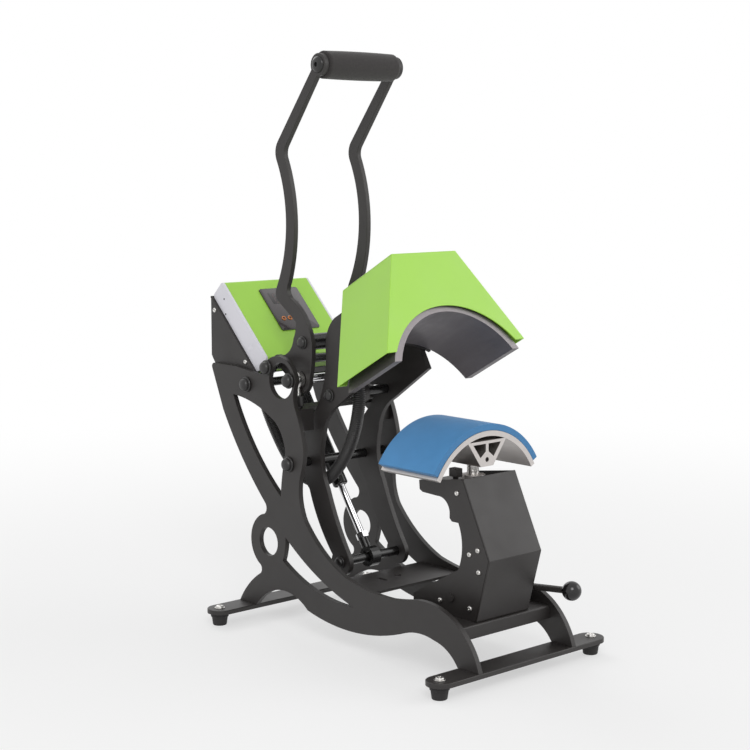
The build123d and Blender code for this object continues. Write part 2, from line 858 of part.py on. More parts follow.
with BuildPart() as head_cover:
    with BuildSketch(head_plane(-cover_front_gap)):
        with BuildLine():
            draw_trapezoid(cover_bottom, cover_top, 0)
        make_face()
    extrude(amount=-cover_depth)
    fillet(head_cover.faces().sort_by(head_up)[-1].edges(), radius=1)
    with BuildSketch(head_plane(-cover_front_gap + cover_sheet)):
        with BuildLine():
            draw_trapezoid(cover_bottom - 1, cover_top - cover_sheet, side_wall)
        make_face()
    extrude(amount=-cover_depth + 2 * cover_sheet, mode=Mode.SUBTRACT)
    with BuildSketch(head_plane(-cover_front_gap - 1)):
        with Locations((0, cover_arch_centre)):
            Circle(cover_arch_radius)
    extrude(amount=-cover_depth - 2, mode=Mode.SUBTRACT)
    with BuildSketch(head_plane(cover_rear + 1)):
        with Locations((conduit_x, head_gland_height)):
            Circle(conduit_bore)
    extrude(amount=2 * cover_sheet, mode=Mode.SUBTRACT)
finish(head_cover, "head_cover")

with BuildPart() as upper_platen:
    with BuildSketch(head_plane(0)):
        Circle(platen_radius + platen_thickness)
        Circle(platen_radius, mode=Mode.SUBTRACT)
        with Locations((0, platen_foot_height - platen_radius)):
            Rectangle(3 * platen_radius, 2 * platen_radius, mode=Mode.SUBTRACT)
    extrude(amount=-platen_depth)
finish(upper_platen, "upper_platen")

bracket_half_width = 20
bracket_sheet = 5
bracket_bottom = platen_radius + platen_thickness + fit_clearance
bracket_rear = cover_rear - cover_sheet

with BuildPart() as head_bracket:
    with BuildSketch(head_plane(8)):
        with Locations((0, bracket_bottom + bracket_sheet / 2)):
            Rectangle(2 * bracket_half_width, bracket_sheet)
    extrude(amount=8 - bracket_rear)
    with BuildSketch(head_plane(bracket_rear - bracket_sheet)):
        with Locations((0, bracket_bottom + bracket_flange / 2)):
            Rectangle(2 * bracket_half_width, bracket_flange)
    extrude(amount=-bracket_sheet)
finish(head_bracket, "head_bracket")

with BuildPart() as back_plate:
    with BuildSketch(head_plane(cover_rear)):
        with BuildLine():
            Polyline(
                (-arm_outer - 4, back_plate_bottom),
                (arm_outer + 4, back_plate_bottom),
                (arm_outer + 4, back_plate_top - 14),
                (arm_outer - 12, back_plate_top),
                (-arm_outer + 12, back_plate_top),
                (-arm_outer - 4, back_plate_top - 14),
                close=True,
            )
        make_face()
        Circle(platen_radius + 2, mode=Mode.SUBTRACT)
        with Locations((conduit_x, head_gland_height)):
            Circle(conduit_bore, mode=Mode.SUBTRACT)
    extrude(amount=-back_plate_thickness)
finish(back_plate, "back_plate")

with BuildPart() as head_gland:
    with BuildSketch(head_plane(arms_front)):
        with Locations((conduit_x, head_gland_height)):
            Circle(gland_radius)
            Circle(conduit_bore, mode=Mode.SUBTRACT)
    extrude(amount=-gland_length)
finish(head_gland, "head_gland")

with BuildPart() as box_gland:
    with BuildSketch(box_back.offset(back_sheet)):
        with Locations(gland_centre):
            Circle(gland_radius)
            Circle(conduit_bore, mode=Mode.SUBTRACT)
    extrude(amount=gland_length)
finish(box_gland, "box_gland")


# --- Arms ---

def make_arm(name, x):
    """Curved arm from the gas spring's lower shaft, over the arm shaft, to the head."""
    head_low = head_point(arms_front, 60)
    head_high = head_point(arms_front, back_plate_top - 12)
    with BuildPart() as arm:
        with BuildSketch(side_plane(x)):
            with BuildLine():
                draw_arcs(
                    [
                        ((60.5, 71), (46.8, 49.7), (33.6, 72)),
                        ((33.6, 72), (53, 104.5), (69.5, 141.8)),
                        ((69.5, 141.8), (78.5, 168), (76, 198)),
                        ((76, 198), (69, 220), (52, 236)),
                    ]
                )
                Polyline((52, 236), head_low, head_high, (56.7, 330.4))
                draw_arcs(
                    [
                        ((56.7, 330.4), (67.5, 316), (71, 298)),
                        ((71, 298), (74, 260), (92, 222)),
                        ((92, 222), (109, 197), (114, 172)),
                        ((114, 172), (110, 154), (99, 138)),
                        ((99, 138), (86, 108), (60.5, 71)),
                    ]
                )
            make_face()
            with Locations(arm_pivot):
                Circle(bore_radius, mode=Mode.SUBTRACT)
            with Locations(link_pivot, lower_arm_pivot):
                Circle(shaft_radius + fit_clearance, mode=Mode.SUBTRACT)
        extrude(amount=arm_thickness)
    finish(arm, name)


make_arm("left_arm", -arm_outer)
make_arm("right_arm", arm_inner)
make_shafts("arm_cross_shafts", [link_pivot, lower_arm_pivot], shaft_radius, arm_outer + cap_overlap)
make_caps(
    "arm_caps", [link_pivot, lower_arm_pivot], arm_outer, cap_radius - 1.5, shaft_radius, low_cap_height
)

# --- Handle ---


def make_handle_bar(name, x):
    """Bent flat bar: grip eye at the top, two bends, and a yoke round the handle shaft."""
    with BuildPart() as bar:
        with BuildSketch(side_plane(x)):
            with BuildLine():
                ThreePointArc((78.4, 593), (60.3, 607.6), (69.25, 586.1))
                Line((69.25, 586.1), (121.5, 514.5))
                draw_arcs(
                    [
                        ((121.5, 514.5), (124.6, 507.5), (123, 499)),
                        ((123, 499), (108.4, 437), (119, 365)),
                        ((119, 365), (120.5, 354.5), (115, 348.2)),
                        ((115, 348.2), (91, 328), (79.5, 300)),
                        ((79.5, 300), (80.5, 280), (84, 262)),
                        ((84, 262), (97, 245.6), (113.5, 256)),
                    ]
                )
                Line((113.5, 256), (134, 270.4))
                draw_arcs(
                    [
                        ((134, 270.4), (146.4, 276), (136, 284.6)),
                        ((136, 284.6), (118.5, 290.5), (111, 305)),
                        ((111, 305), (107.5, 314), (107, 323.5)),
                    ]
                )
                Line((107, 323.5), (135, 343))
                draw_arcs(
                    [
                        ((135, 343), (140.8, 350), (140, 358.4)),
                        ((140, 358.4), (122.5, 430), (138, 498)),
                        ((138, 498), (139.8, 509), (135.5, 519)),
                    ]
                )
                Line((135.5, 519), (78.4, 593))
            make_face()
            with Locations(handle_pivot):
                Circle(bore_radius, mode=Mode.SUBTRACT)
            with Locations(cross_tube_centre, stop_pin_centre):
                Circle(shaft_radius + fit_clearance, mode=Mode.SUBTRACT)
            with Locations(grip_centre):
                Circle(grip_bolt_radius + fit_clearance, mode=Mode.SUBTRACT)
        extrude(amount=handle_bar_thickness)
    finish(bar, name)


make_handle_bar("left_handle_bar", -bar_outer)
make_handle_bar("right_handle_bar", bar_inner)


def make_cross_piece(name, pivot, radius):
    """Turned spacer between the handle bars with a thinner end through each bar."""
    with BuildPart() as spacer:
        with BuildSketch(side_plane(-bar_inner)):
            with Locations(pivot):
                Circle(radius)
        extrude(amount=2 * bar_inner)
        with BuildSketch(side_plane(-bar_outer - cap_overlap)):
            with Locations(pivot):
                Circle(shaft_radius)
        extrude(amount=2 * (bar_outer + cap_overlap))
    finish(spacer, name)


make_cross_piece("cross_tube", cross_tube_centre, cross_tube_radius)
make_cross_piece("stop_pin", stop_pin_centre, shaft_radius)
make_caps(
    "handle_caps", [cross_tube_centre, stop_pin_centre], bar_outer, cap_radius - 1.5, shaft_radius, low_cap_height
)

with BuildPart() as grip_tube:
    with BuildSketch(side_plane(-bar_inner)):
        with Locations(grip_centre):
            Circle(grip_tube_radius)
            Circle(grip_bolt_radius + fit_clearance, mode=Mode.SUBTRACT)
    extrude(amount=2 * bar_inner)
finish(grip_tube, "grip_tube")

with BuildPart() as foam_grip:
    with BuildSketch(side_plane(-bar_inner + foam_end_gap)):
        with Locations(grip_centre):
            Circle(foam_radius)
            Circle(grip_tube_radius + fit_clearance, mode=Mode.SUBTRACT)
    extrude(amount=2 * (bar_inner - foam_end_gap))
    fillet(foam_grip.edges().filter_by(GeomType.CIRCLE).sort_by(SortBy.RADIUS)[-2:], radius=3)
finish(foam_grip, "foam_grip")

with BuildPart() as grip_bolts:
    with BuildSketch(side_plane(bar_outer)):
        with Locations(grip_centre):
            Circle(foam_radius - 6)
    extrude(amount=3)
    fillet(grip_bolts.faces().sort_by(Axis.X)[-1].edges(), radius=2)
    with BuildSketch(side_plane(bar_outer)):
        with Locations(grip_centre):
            Circle(grip_bolt_radius)
    extrude(amount=-handle_bar_thickness - 20)
    mirror(about=Plane.YZ)
finish(grip_bolts, "grip_bolts")

# --- Links ---
link_half_width = 6

with BuildPart() as drive_link:
    with BuildSketch(side_plane(-link_half_width)):
        with BuildLine():
            CenterArc(cross_tube_centre, cross_tube_radius + 4, 0, 360)
            CenterArc(link_eye_centre, shaft_radius + open_pivot_clearance + 4, 0, 360)
        make_hull()
        with Locations(cross_tube_centre):
            Circle(cross_tube_radius + running_clearance, mode=Mode.SUBTRACT)
        with Locations(link_eye_centre):
            Circle(shaft_radius + open_pivot_clearance, mode=Mode.SUBTRACT)
    extrude(amount=2 * link_half_width)
finish(drive_link, "drive_link")

spring_direction = toward(spring_pivot, lower_arm_pivot)
spring_length = hypot(lower_arm_pivot[0] - spring_pivot[0], lower_arm_pivot[1] - spring_pivot[1])


def spring_plane(distance):
    """Plane square to the gas spring at a distance from its upper pivot."""
    return Plane(
        origin=(
            0,
            mid_y + spring_pivot[0] + distance * spring_direction[0],
            bar_top + spring_pivot[1] + distance * spring_direction[1],
        ),
        x_dir=(1, 0, 0),
        z_dir=(0, spring_direction[0], spring_direction[1]),
    )


eye_half_width = 6

with BuildPart() as gas_spring_body:
    with BuildSketch(spring_plane(spring_eye_radius - 3)):
        Circle(spring_tube_radius - 3)
    extrude(amount=8)
    with BuildSketch(spring_plane(spring_eye_radius + 4)):
        Circle(spring_tube_radius)
    extrude(amount=spring_tube_end - spring_eye_radius - 4)
    fillet(gas_spring_body.edges().filter_by(GeomType.CIRCLE).sort_by(SortBy.RADIUS)[-2:], radius=2)
    with BuildSketch(side_plane(-eye_half_width)):
        with Locations(spring_pivot):
            Circle(spring_eye_radius)
    extrude(amount=2 * eye_half_width)
    with BuildSketch(side_plane(-eye_half_width)):
        with Locations(spring_pivot):
            Circle(bore_radius)
    extrude(amount=2 * eye_half_width, mode=Mode.SUBTRACT)
    with BuildSketch(spring_plane(spring_tube_end)):
        Circle(spring_rod_radius + running_clearance)
    extrude(amount=-spring_bore_depth, mode=Mode.SUBTRACT)
finish(gas_spring_body, "gas_spring_body")

lower_eye_radius = shaft_radius + open_pivot_clearance + 4
rod_end = spring_length - lower_eye_radius - 2

with BuildPart() as gas_spring_rod:
    with BuildSketch(spring_plane(spring_tube_end - rod_inside)):
        Circle(spring_rod_radius)
    extrude(amount=rod_end - spring_tube_end + rod_inside)
    with BuildSketch(spring_plane(rod_end - 15)):
        RegularPolygon(7, 6)
    extrude(amount=6)
finish(gas_spring_rod, "gas_spring_rod")

with BuildPart() as gas_spring_eye:
    with BuildSketch(spring_plane(rod_end - 9)):
        Circle(5.5)
    extrude(amount=13)
    with BuildSketch(side_plane(-eye_half_width)):
        with Locations(lower_arm_pivot):
            Circle(lower_eye_radius)
    extrude(amount=2 * eye_half_width)
    with BuildSketch(side_plane(-eye_half_width)):
        with Locations(lower_arm_pivot):
            Circle(shaft_radius + open_pivot_clearance)
    extrude(amount=2 * eye_half_width, mode=Mode.SUBTRACT)
    with BuildSketch(spring_plane(rod_end - 9)):
        Circle(spring_rod_radius + fit_clearance)
    extrude(amount=9.2, mode=Mode.SUBTRACT)
finish(gas_spring_eye, "gas_spring_eye")

# --- Ribbed conduit from the head to the control box, in one upright plane ---
gland_start = head_point(arms_front + gland_length, head_gland_height)
gland_slope = (box_slope[1], -box_slope[0])
gland_depth = back_sheet + gland_length
gland_end = (
    box_bottom_rear[0] - gland_centre[1] * box_slope[0] + gland_depth * gland_slope[0],
    box_bottom_rear[1] - gland_centre[1] * box_slope[1] + gland_depth * gland_slope[1],
)
first_run = 26
last_run = 24
conduit_points = [
    gland_start,
    (gland_start[0] + first_run * head_cos, gland_start[1] - first_run * head_sin),
    (34, 250),
    (42, 208),
    (62, 172),
    (92, 144),
    (126, 142),
    (154, 160),
    (178, 188),
    (200, 222),
    (gland_end[0] + last_run * gland_slope[0], gland_end[1] + last_run * gland_slope[1]),
    gland_end,
]


def corner_radii(points):
    """Largest arc for each corner: 0.45 of the shorter run over the tangent of half the turn."""
    radii = []
    for before, corner, after in zip(points, points[1:], points[2:]):
        run_in = Vector(corner[0] - before[0], corner[1] - before[1])
        run_out = Vector(after[0] - corner[0], after[1] - corner[1])
        shorter = min(run_in.length, run_out.length)
        radii.append(0.45 * shorter / tan(radians(run_in.get_angle(run_out) / 2)))
    return radii


conduit_radii = corner_radii(conduit_points)
print("conduit arc radii:", [round(radius, 1) for radius in conduit_radii])

with BuildLine(side_plane(conduit_x)) as conduit_route:
    FilletPolyline(*conduit_points, radius=conduit_radii)
conduit_path = conduit_route.wires()[0]
print("conduit length:", round(conduit_path.length, 1))


def conduit_plane(distance):
    """Plane square to the conduit at a distance along it, with its x axis across the press."""
    return Plane(
        origin=conduit_path.position_at(distance, PositionMode.LENGTH),
        x_dir=(1, 0, 0),
        z_dir=conduit_path.tangent_at(distance, PositionMode.LENGTH),
    )


rib_pitch = (conduit_path.length - 4 * conduit_radius) / conduit_ribs
conduit_sections = [(0, conduit_radius - rib_depth)]
for rib in range(conduit_ribs):
    rib_start = 2 * conduit_radius + rib * rib_pitch
    conduit_sections.append((rib_start, conduit_radius - rib_depth))
    conduit_sections.append((rib_start + 0.25 * rib_pitch, conduit_radius))
    conduit_sections.append((rib_start + 0.6 * rib_pitch, conduit_radius))
    conduit_sections.append((rib_start + 0.85 * rib_pitch, conduit_radius - rib_depth))
conduit_sections.append((conduit_path.length, conduit_radius - rib_depth))

with BuildPart() as conduit:
    for distance, radius in conduit_sections:
        with BuildSketch(conduit_plane(distance)):
            Circle(radius)
    loft(ruled=True)
    for step in range(bore_steps + 1):
        with BuildSketch(conduit_plane(step * conduit_path.length / bore_steps)):
            Circle(conduit_bore)
    loft(ruled=True, mode=Mode.SUBTRACT)
finish(conduit, "conduit")
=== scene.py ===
import json
from math import atan2, cos, pi, radians, sin

import bmesh
import bpy
from bpy.props import FloatProperty, FloatVectorProperty, PointerProperty
from mathutils import Matrix, Vector

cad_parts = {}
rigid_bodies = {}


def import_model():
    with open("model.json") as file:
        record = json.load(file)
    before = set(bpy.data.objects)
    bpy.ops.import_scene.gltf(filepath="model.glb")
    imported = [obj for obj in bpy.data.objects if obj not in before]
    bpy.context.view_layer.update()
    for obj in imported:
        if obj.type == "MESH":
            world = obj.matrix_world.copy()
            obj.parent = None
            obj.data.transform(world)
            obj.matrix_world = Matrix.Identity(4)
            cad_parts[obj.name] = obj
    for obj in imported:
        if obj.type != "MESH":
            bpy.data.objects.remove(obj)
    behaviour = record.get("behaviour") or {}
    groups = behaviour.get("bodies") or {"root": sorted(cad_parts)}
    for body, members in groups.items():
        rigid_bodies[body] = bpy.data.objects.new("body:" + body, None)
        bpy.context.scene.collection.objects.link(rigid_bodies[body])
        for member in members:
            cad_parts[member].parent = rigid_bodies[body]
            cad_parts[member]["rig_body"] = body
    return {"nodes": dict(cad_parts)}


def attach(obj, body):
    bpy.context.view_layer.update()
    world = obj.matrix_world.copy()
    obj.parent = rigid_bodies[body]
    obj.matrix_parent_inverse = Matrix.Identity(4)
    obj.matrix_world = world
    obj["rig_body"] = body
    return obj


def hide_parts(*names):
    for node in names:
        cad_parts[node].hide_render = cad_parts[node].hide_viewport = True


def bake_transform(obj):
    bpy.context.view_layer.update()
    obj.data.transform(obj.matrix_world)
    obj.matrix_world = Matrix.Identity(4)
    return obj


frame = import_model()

bl_info = {
    "name": "Cap heat press",
    "version": (1, 0, 0),
    "blender": (4, 5, 0),
    "location": "3D View > Sidebar > Heat press",
    "description": "Builds the visible pieces of a clamshell cap heat press round its CAD model",
    "category": "Add Mesh",
}

MM = 0.001
# The side view's origin in the row frame, in mm: midway between the foot bolts, on the foot bars.
SIDE_Y = -16.11
SIDE_Z = 19.0
ACROSS = Vector((1, 0, 0))
UP = Vector((0, 0, 1))
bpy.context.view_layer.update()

# Shaft centres in the side view, in mm.
SPRING_PIVOT = (173.8, 249.7)
HANDLE_PIVOT = (99, 261)
ARM_PIVOT = (100, 169)
LOBE_BOLT = (137, 272)
LINK_PIVOT = (64, 246)
LOWER_ARM_PIVOT = (46.8, 64.7)
CROSS_TUBE = (94.5, 301.8)
STOP_PIN = (138.5, 277)
GRIP = (67.5, 598)
PLATE_OUTER = 72
ARM_OUTER = 44
BAR_INNER = 50
BAR_OUTER = 56


def place(x, y, z):
    """Point of the row frame, in metres, from one of the side view's, in mm."""
    return Vector((x, y + SIDE_Y, z + SIDE_Z)) * MM


def linear(code):
    """Linear colour from an sRGB hex value."""
    channels = [int(code[i:i + 2], 16) / 255 for i in (1, 3, 5)]
    return tuple(c / 12.92 if c <= 0.04045 else ((c + 0.055) / 1.055) ** 2.4 for c in channels)


# --- Sizes and colours that can be changed ---

def colour(name, description, code):
    return FloatVectorProperty(
        name=name, description=description, subtype="COLOR", size=3, min=0, max=1, default=linear(code)
    )


def length(name, description, default):
    return FloatProperty(
        name=name,
        description=description,
        subtype="DISTANCE",
        unit="LENGTH",
        default=default,
        min=0,
        precision=5,
    )


class PressColours(bpy.types.PropertyGroup):
    cover: colour("Cover green", "Powder coat of the head cover and the control box", "#A6DC50")
    steel: colour("Frame black", "Powder coat of the frame, arms and handle", "#2A2726")
    panel: colour("Side panel", "Painted side panels of the control box", "#E9E8EF")
    pad: colour("Silicone pad", "Silicone pad on the lower platen", "#4F8FC6")
    platen: colour("Heated platen", "Coated aluminium of the heated platen", "#625D5F")
    extrusion: colour("Extrusion", "Mill finish aluminium of the lower platen", "#C9C4C1")
    buttons: colour("Button", "Moulded push buttons", "#E08A4A")
    floor: colour("Floor", "Studio floor", "#F4F4F4")


class PressSizes(bpy.types.PropertyGroup):
    edge: length("Plate edge", "Rounding of the cut steel edges", 0.0004)
    fold: length("Sheet fold", "Rounding of the folded sheet edges", 0.0008)
    rib_pitch: length("Rib pitch", "Distance between two ribs of the conduit", 0.0021)
    thread_pitch: length("Thread pitch", "Pitch of the adjusters' threads", 0.001)
    foam_crown: length("Foam crown", "How far the foam grip swells at its middle", 0.0006)
    camera_lens: FloatProperty(name="Lens", description="Focal length in mm", default=80.016, min=20, max=200)


# --- Materials: each is named for what the real one is, or for the painted shade it stands for ---

def add_node(tree, kind, inputs=None, **settings):
    """Add a node with its settings; an input is a value or another node's output."""
    node = tree.nodes.new(kind)
    for key, value in settings.items():
        setattr(node, key, value)
    for key, value in (inputs or {}).items():
        if isinstance(value, bpy.types.NodeSocket):
            tree.links.new(value, node.inputs[key])
        else:
            node.inputs[key].default_value = value
    return node


def start_material(name):
    """Empty node material, its object coordinates and a function that ends it."""
    material = bpy.data.materials.new(name)
    material.use_nodes = True
    tree = material.node_tree
    tree.nodes.clear()
    where = add_node(tree, "ShaderNodeTexCoord").outputs["Object"]

    def finish(inputs):
        shader = add_node(tree, "ShaderNodeBsdfPrincipled", inputs)
        add_node(tree, "ShaderNodeOutputMaterial", {"Surface": shader.outputs["BSDF"]})
        return material

    return tree, where, finish


def rgba(value, factor=1.0):
    return (*[min(1.0, c * factor) for c in value], 1)


def varied(tree, where, value, size, spread):
    """Colour that drifts a little lighter and darker over patches of a size in metres."""
    noise = add_node(
        tree, "ShaderNodeTexNoise", {"Vector": where, "Scale": 1 / size, "Detail": 3.0, "Roughness": 0.6}
    )
    mix = add_node(
        tree,
        "ShaderNodeMix",
        {"Factor": noise.outputs["Fac"], 6: rgba(value, 1 - spread), 7: rgba(value, 1 + spread)},
        data_type="RGBA",
    )
    return mix.outputs[2]


def roughened(tree, where, size, low, high):
    """Roughness that drifts between two values over patches of a size in metres."""
    noise = add_node(tree, "ShaderNodeTexNoise", {"Vector": where, "Scale": 1 / size, "Detail": 2.0})
    ramp = add_node(
        tree,
        "ShaderNodeMapRange",
        {"Value": noise.outputs["Fac"], "From Min": 0.3, "From Max": 0.7, "To Min": low, "To Max": high},
    )
    return ramp.outputs["Result"]


def grained(tree, where, size, height, detail=2.0):
    """Bumps of a size and a height in metres."""
    noise = add_node(tree, "ShaderNodeTexNoise", {"Vector": where, "Scale": 1 / size, "Detail": detail})
    bump = add_node(
        tree, "ShaderNodeBump", {"Height": noise.outputs["Fac"], "Strength": 0.6, "Distance": height}
    )
    return bump.outputs["Normal"]


def powder_coat(name, value, rough, peel):
    """Polyester powder coat baked on steel: a satin skin with orange peel about 1.5 mm across."""
    tree, where, finish = start_material(name)
    return finish(
        {
            "Base Color": varied(tree, where, value, 0.06, 0.05),
            "Roughness": roughened(tree, where, 0.03, rough - 0.04, rough + 0.05),
            "IOR": 1.5,
            "Normal": grained(tree, where, 0.0015, peel),
        }
    )


def moulded_plastic(name, value, rough):
    """Injection moulded ABS or nylon: even colour and a fine spark-eroded grain of about 0.6 mm."""
    tree, where, finish = start_material(name)
    return finish(
        {
            "Base Color": varied(tree, where, value, 0.02, 0.04),
            "Roughness": roughened(tree, where, 0.01, rough - 0.04, rough + 0.06),
            "IOR": 1.53,
            "Normal": grained(tree, where, 0.0006, 0.00002),
        }
    )


def worked_metal(name, value, rough, stretch, depth):
    """Bare metal with the fine marks of drawing, turning or plating, stretched along one axis."""
    tree, where, finish = start_material(name)
    along = add_node(tree, "ShaderNodeMapping", {"Vector": where, "Scale": stretch})
    noise = add_node(
        tree, "ShaderNodeTexNoise", {"Vector": along.outputs["Vector"], "Scale": 700.0, "Detail": 4.0}
    )
    streaks = add_node(
        tree,
        "ShaderNodeMapRange",
        {
            "Value": noise.outputs["Fac"],
            "From Min": 0.25,
            "From Max": 0.75,
            "To Min": rough,
            "To Max": rough + 0.16,
        },
    )
    bump = add_node(
        tree, "ShaderNodeBump", {"Height": noise.outputs["Fac"], "Strength": 0.4, "Distance": depth}
    )
    return finish(
        {
            "Base Color": varied(tree, where, value, 0.015, 0.06),
            "Metallic": 1.0,
            "Roughness": streaks.outputs["Result"],
            "Normal": bump.outputs["Normal"],
        }
    )


def silicone_rubber(name, value):
    """Pressed silicone sponge: matt, a little dusty, with pores of about 1 mm that show as faint pits."""
    tree, where, finish = start_material(name)
    pores = add_node(tree, "ShaderNodeTexVoronoi", {"Vector": where, "Scale": 900.0})
    cloud = add_node(tree, "ShaderNodeTexNoise", {"Vector": where, "Scale": 55.0, "Detail": 5.0})
    dust = add_node(
        tree,
        "ShaderNodeMix",
        {"Factor": cloud.outputs["Fac"], 6: rgba(value, 0.9), 7: rgba(value, 1.1)},
        data_type="RGBA",
    )
    bump = add_node(
        tree, "ShaderNodeBump", {"Height": pores.outputs["Distance"], "Strength": 0.35, "Distance": 0.0001}
    )
    return finish(
        {
            "Base Color": dust.outputs[2],
            "Roughness": 0.62,
            "IOR": 1.41,
            "Sheen Weight": 0.12,
            "Sheen Roughness": 0.4,
            "Normal": bump.outputs["Normal"],
        }
    )


def closed_cell_foam(name):
    """Nitrile foam tube: matt black skin with cells about 0.9 mm across, painted darker in their pits and
    lighter on their rims as painted shade.
    """
    tree, where, finish = start_material(name)
    cells = add_node(tree, "ShaderNodeTexVoronoi", {"Vector": where, "Scale": 1100.0, "Randomness": 1.0})
    # Colour follows the cells' bump height, darker in the pits and lighter on the rims: painted shade.
    tone = add_node(
        tree,
        "ShaderNodeMix",
        {"Factor": cells.outputs["Distance"], 6: rgba(linear("#1A1818")), 7: rgba(linear("#363231"))},
        data_type="RGBA",
    )
    bump = add_node(
        tree, "ShaderNodeBump", {"Height": cells.outputs["Distance"], "Strength": 0.7, "Distance": 0.00022}
    )
    return finish(
        {
            "Base Color": tone.outputs[2],
            "Roughness": 0.85,
            "IOR": 1.5,
            "Sheen Weight": 0.2,
            "Sheen Roughness": 0.5,
            "Normal": bump.outputs["Normal"],
        }
    )


def glossy_film(name, value):
    """Printed polycarbonate film over the display: a deep colour under a clear glossy skin."""
    tree, where, finish = start_material(name)
    return finish(
        {
            "Base Color": varied(tree, where, value, 0.02, 0.1),
            "Roughness": 0.18,
            "IOR": 1.58,
            "Coat Weight": 0.6,
            "Coat Roughness": 0.05,
            "Normal": grained(tree, where, 0.004, 0.00003),
        }
    )


def coated_platen(name, value):
    """Cast aluminium under a dark non-stick coat: satin, with faint scuffs drawn along the press."""
    tree, where, finish = start_material(name)
    along = add_node(tree, "ShaderNodeMapping", {"Vector": where, "Scale": (1.0, 0.12, 0.3)})
    scuffs = add_node(
        tree, "ShaderNodeTexNoise", {"Vector": along.outputs["Vector"], "Scale": 160.0, "Detail": 5.0}
    )
    tone = add_node(
        tree,
        "ShaderNodeMix",
        {"Factor": scuffs.outputs["Fac"], 6: rgba(value, 0.82), 7: rgba(value, 1.18)},
        data_type="RGBA",
    )
    return finish(
        {
            "Base Color": tone.outputs[2],
            "Metallic": 0.35,
            "Roughness": roughened(tree, where, 0.02, 0.38, 0.52),
            "Normal": grained(tree, where, 0.0012, 0.00003),
        }
    )


MATERIALS = {}


def make_materials(colours):
    MATERIALS.update(
        green_powder_coat=powder_coat("green_powder_coat", colours.cover, 0.36, 0.00002),
        black_powder_coat=powder_coat("black_powder_coat", colours.steel, 0.46, 0.00004),
        white_paint=powder_coat("white_semi_gloss_paint", colours.panel, 0.34, 0.00001),
        silicone=silicone_rubber("blue_silicone_rubber", colours.pad),
        # Darker copy of the pad's silicone for its front, back and under faces: painted shade.
        silicone_edge=silicone_rubber("cut_silicone_edge", [c * 0.78 for c in colours.pad]),
        foam=closed_cell_foam("nitrile_foam"),
        extrusion=worked_metal("mill_finish_aluminium", colours.extrusion, 0.34, (1, 0.06, 1), 0.00002),
        platen=coated_platen("non_stick_coated_aluminium", colours.platen),
        platen_rim=worked_metal("machined_platen_rim", linear("#8B8688"), 0.42, (1, 1, 1), 0.00002),
        zinc=worked_metal("zinc_plated_steel", linear("#CFCDCA"), 0.22, (1, 1, 1), 0.00001),
        chrome=worked_metal("hard_chrome_rod", linear("#D9D9DB"), 0.08, (1, 1, 1), 0.000003),
        rubber=moulded_plastic("moulded_rubber", linear("#1D1B1B"), 0.7),
        plastic=moulded_plastic("black_moulded_abs", linear("#201E1E"), 0.36),
        gloss_plastic=moulded_plastic("polished_black_phenolic", linear("#141213"), 0.14),
        nylon=moulded_plastic("black_nylon_conduit", linear("#1E1C1C"), 0.42),
        tube_paint=powder_coat("gas_spring_enamel", linear("#1B1A1A"), 0.24, 0.000006),
        film=glossy_film("display_film", linear("#2B2024")),
        window=glossy_film("display_window", linear("#120B0D")),
        dim_segment=glossy_film("unlit_segment", linear("#4A2226")),
        film_line=glossy_film("film_border_line", linear("#0E0B0C")),
        button=moulded_plastic("orange_moulded_button", colours.buttons, 0.3),
        button_dot=moulded_plastic("button_centre", linear("#2B1D18"), 0.4),
        # Near-black discs that stand for the shade inside the panels' pilot holes: painted shade.
        dark_gap=moulded_plastic("painted_shade_in_holes", linear("#0B0A0A"), 0.8),
    )


# --- Building helpers ---

def add_piece(name, mesh, body, slot, *materials):
    """Object for a finished mesh that rides on a body."""
    piece = bpy.data.objects.new(name, mesh)
    bpy.context.scene.collection.objects.link(piece)
    for material in materials:
        mesh.materials.append(MATERIALS[material])
    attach(piece, body)
    return piece


def mesh_from(bm, name, crease=35):
    """Mesh from a bmesh, smooth except along edges sharper than an angle."""
    bm.normal_update()
    for face in bm.faces:
        face.smooth = True
    for edge in bm.edges:
        edge.smooth = len(edge.link_faces) == 2 and edge.calc_face_angle(0) < radians(crease)
    mesh = bpy.data.meshes.new(name)
    bm.to_mesh(mesh)
    bm.free()
    return mesh


def weighted(piece):
    """Flat faces stay flat in the shading beside their rounded edges."""
    modifier = piece.modifiers.new("flat_faces", "WEIGHTED_NORMAL")
    modifier.keep_sharp = True
    modifier.weight = 60


def cad_copy(node):
    """Welded bmesh of a CAD node with its flat faces made whole."""
    mesh = frame["nodes"][node].data
    bm = bmesh.new()
    bm.from_mesh(mesh)
    for layer in list(bm.loops.layers.float_vector) + list(bm.loops.layers.uv):
        if layer.name.startswith("custom_normal"):
            bm.loops.layers.float_vector.remove(layer)
    bmesh.ops.remove_doubles(bm, verts=bm.verts, dist=0.01 * MM)
    bmesh.ops.dissolve_limit(bm, angle_limit=radians(0.5), verts=bm.verts, edges=bm.edges)
    for face in bm.faces:
        face.material_index = 0
    return bm


def round_edges(bm, width, segments=2, sharper=40):
    """Round every edge that is sharper than an angle."""
    edges = [e for e in bm.edges if len(e.link_faces) == 2 and e.calc_face_angle(0) > radians(sharper)]
    bmesh.ops.bevel(
        bm,
        geom=edges,
        offset=width,
        offset_type="OFFSET",
        segments=segments,
        profile=0.5,
        affect="EDGES",
        clamp_overlap=True,
        material=-1,
        loop_slide=True,
    )


def soften(node, slot, material, width, segments=2, sharper=40):
    """Stand-in for a CAD node with rounded edges."""
    bm = cad_copy(node)
    round_edges(bm, width, segments, sharper)
    body = frame["nodes"][node]["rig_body"]
    piece = add_piece(f"{node}_rounded", mesh_from(bm, f"{node}_rounded"), body, slot, material)
    weighted(piece)
    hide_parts(node)
    return piece


def dress(node, material):
    """Better material on a CAD node whose shape stays."""
    piece = frame["nodes"][node]
    piece.data.materials.clear()
    piece.data.materials.append(MATERIALS[material])


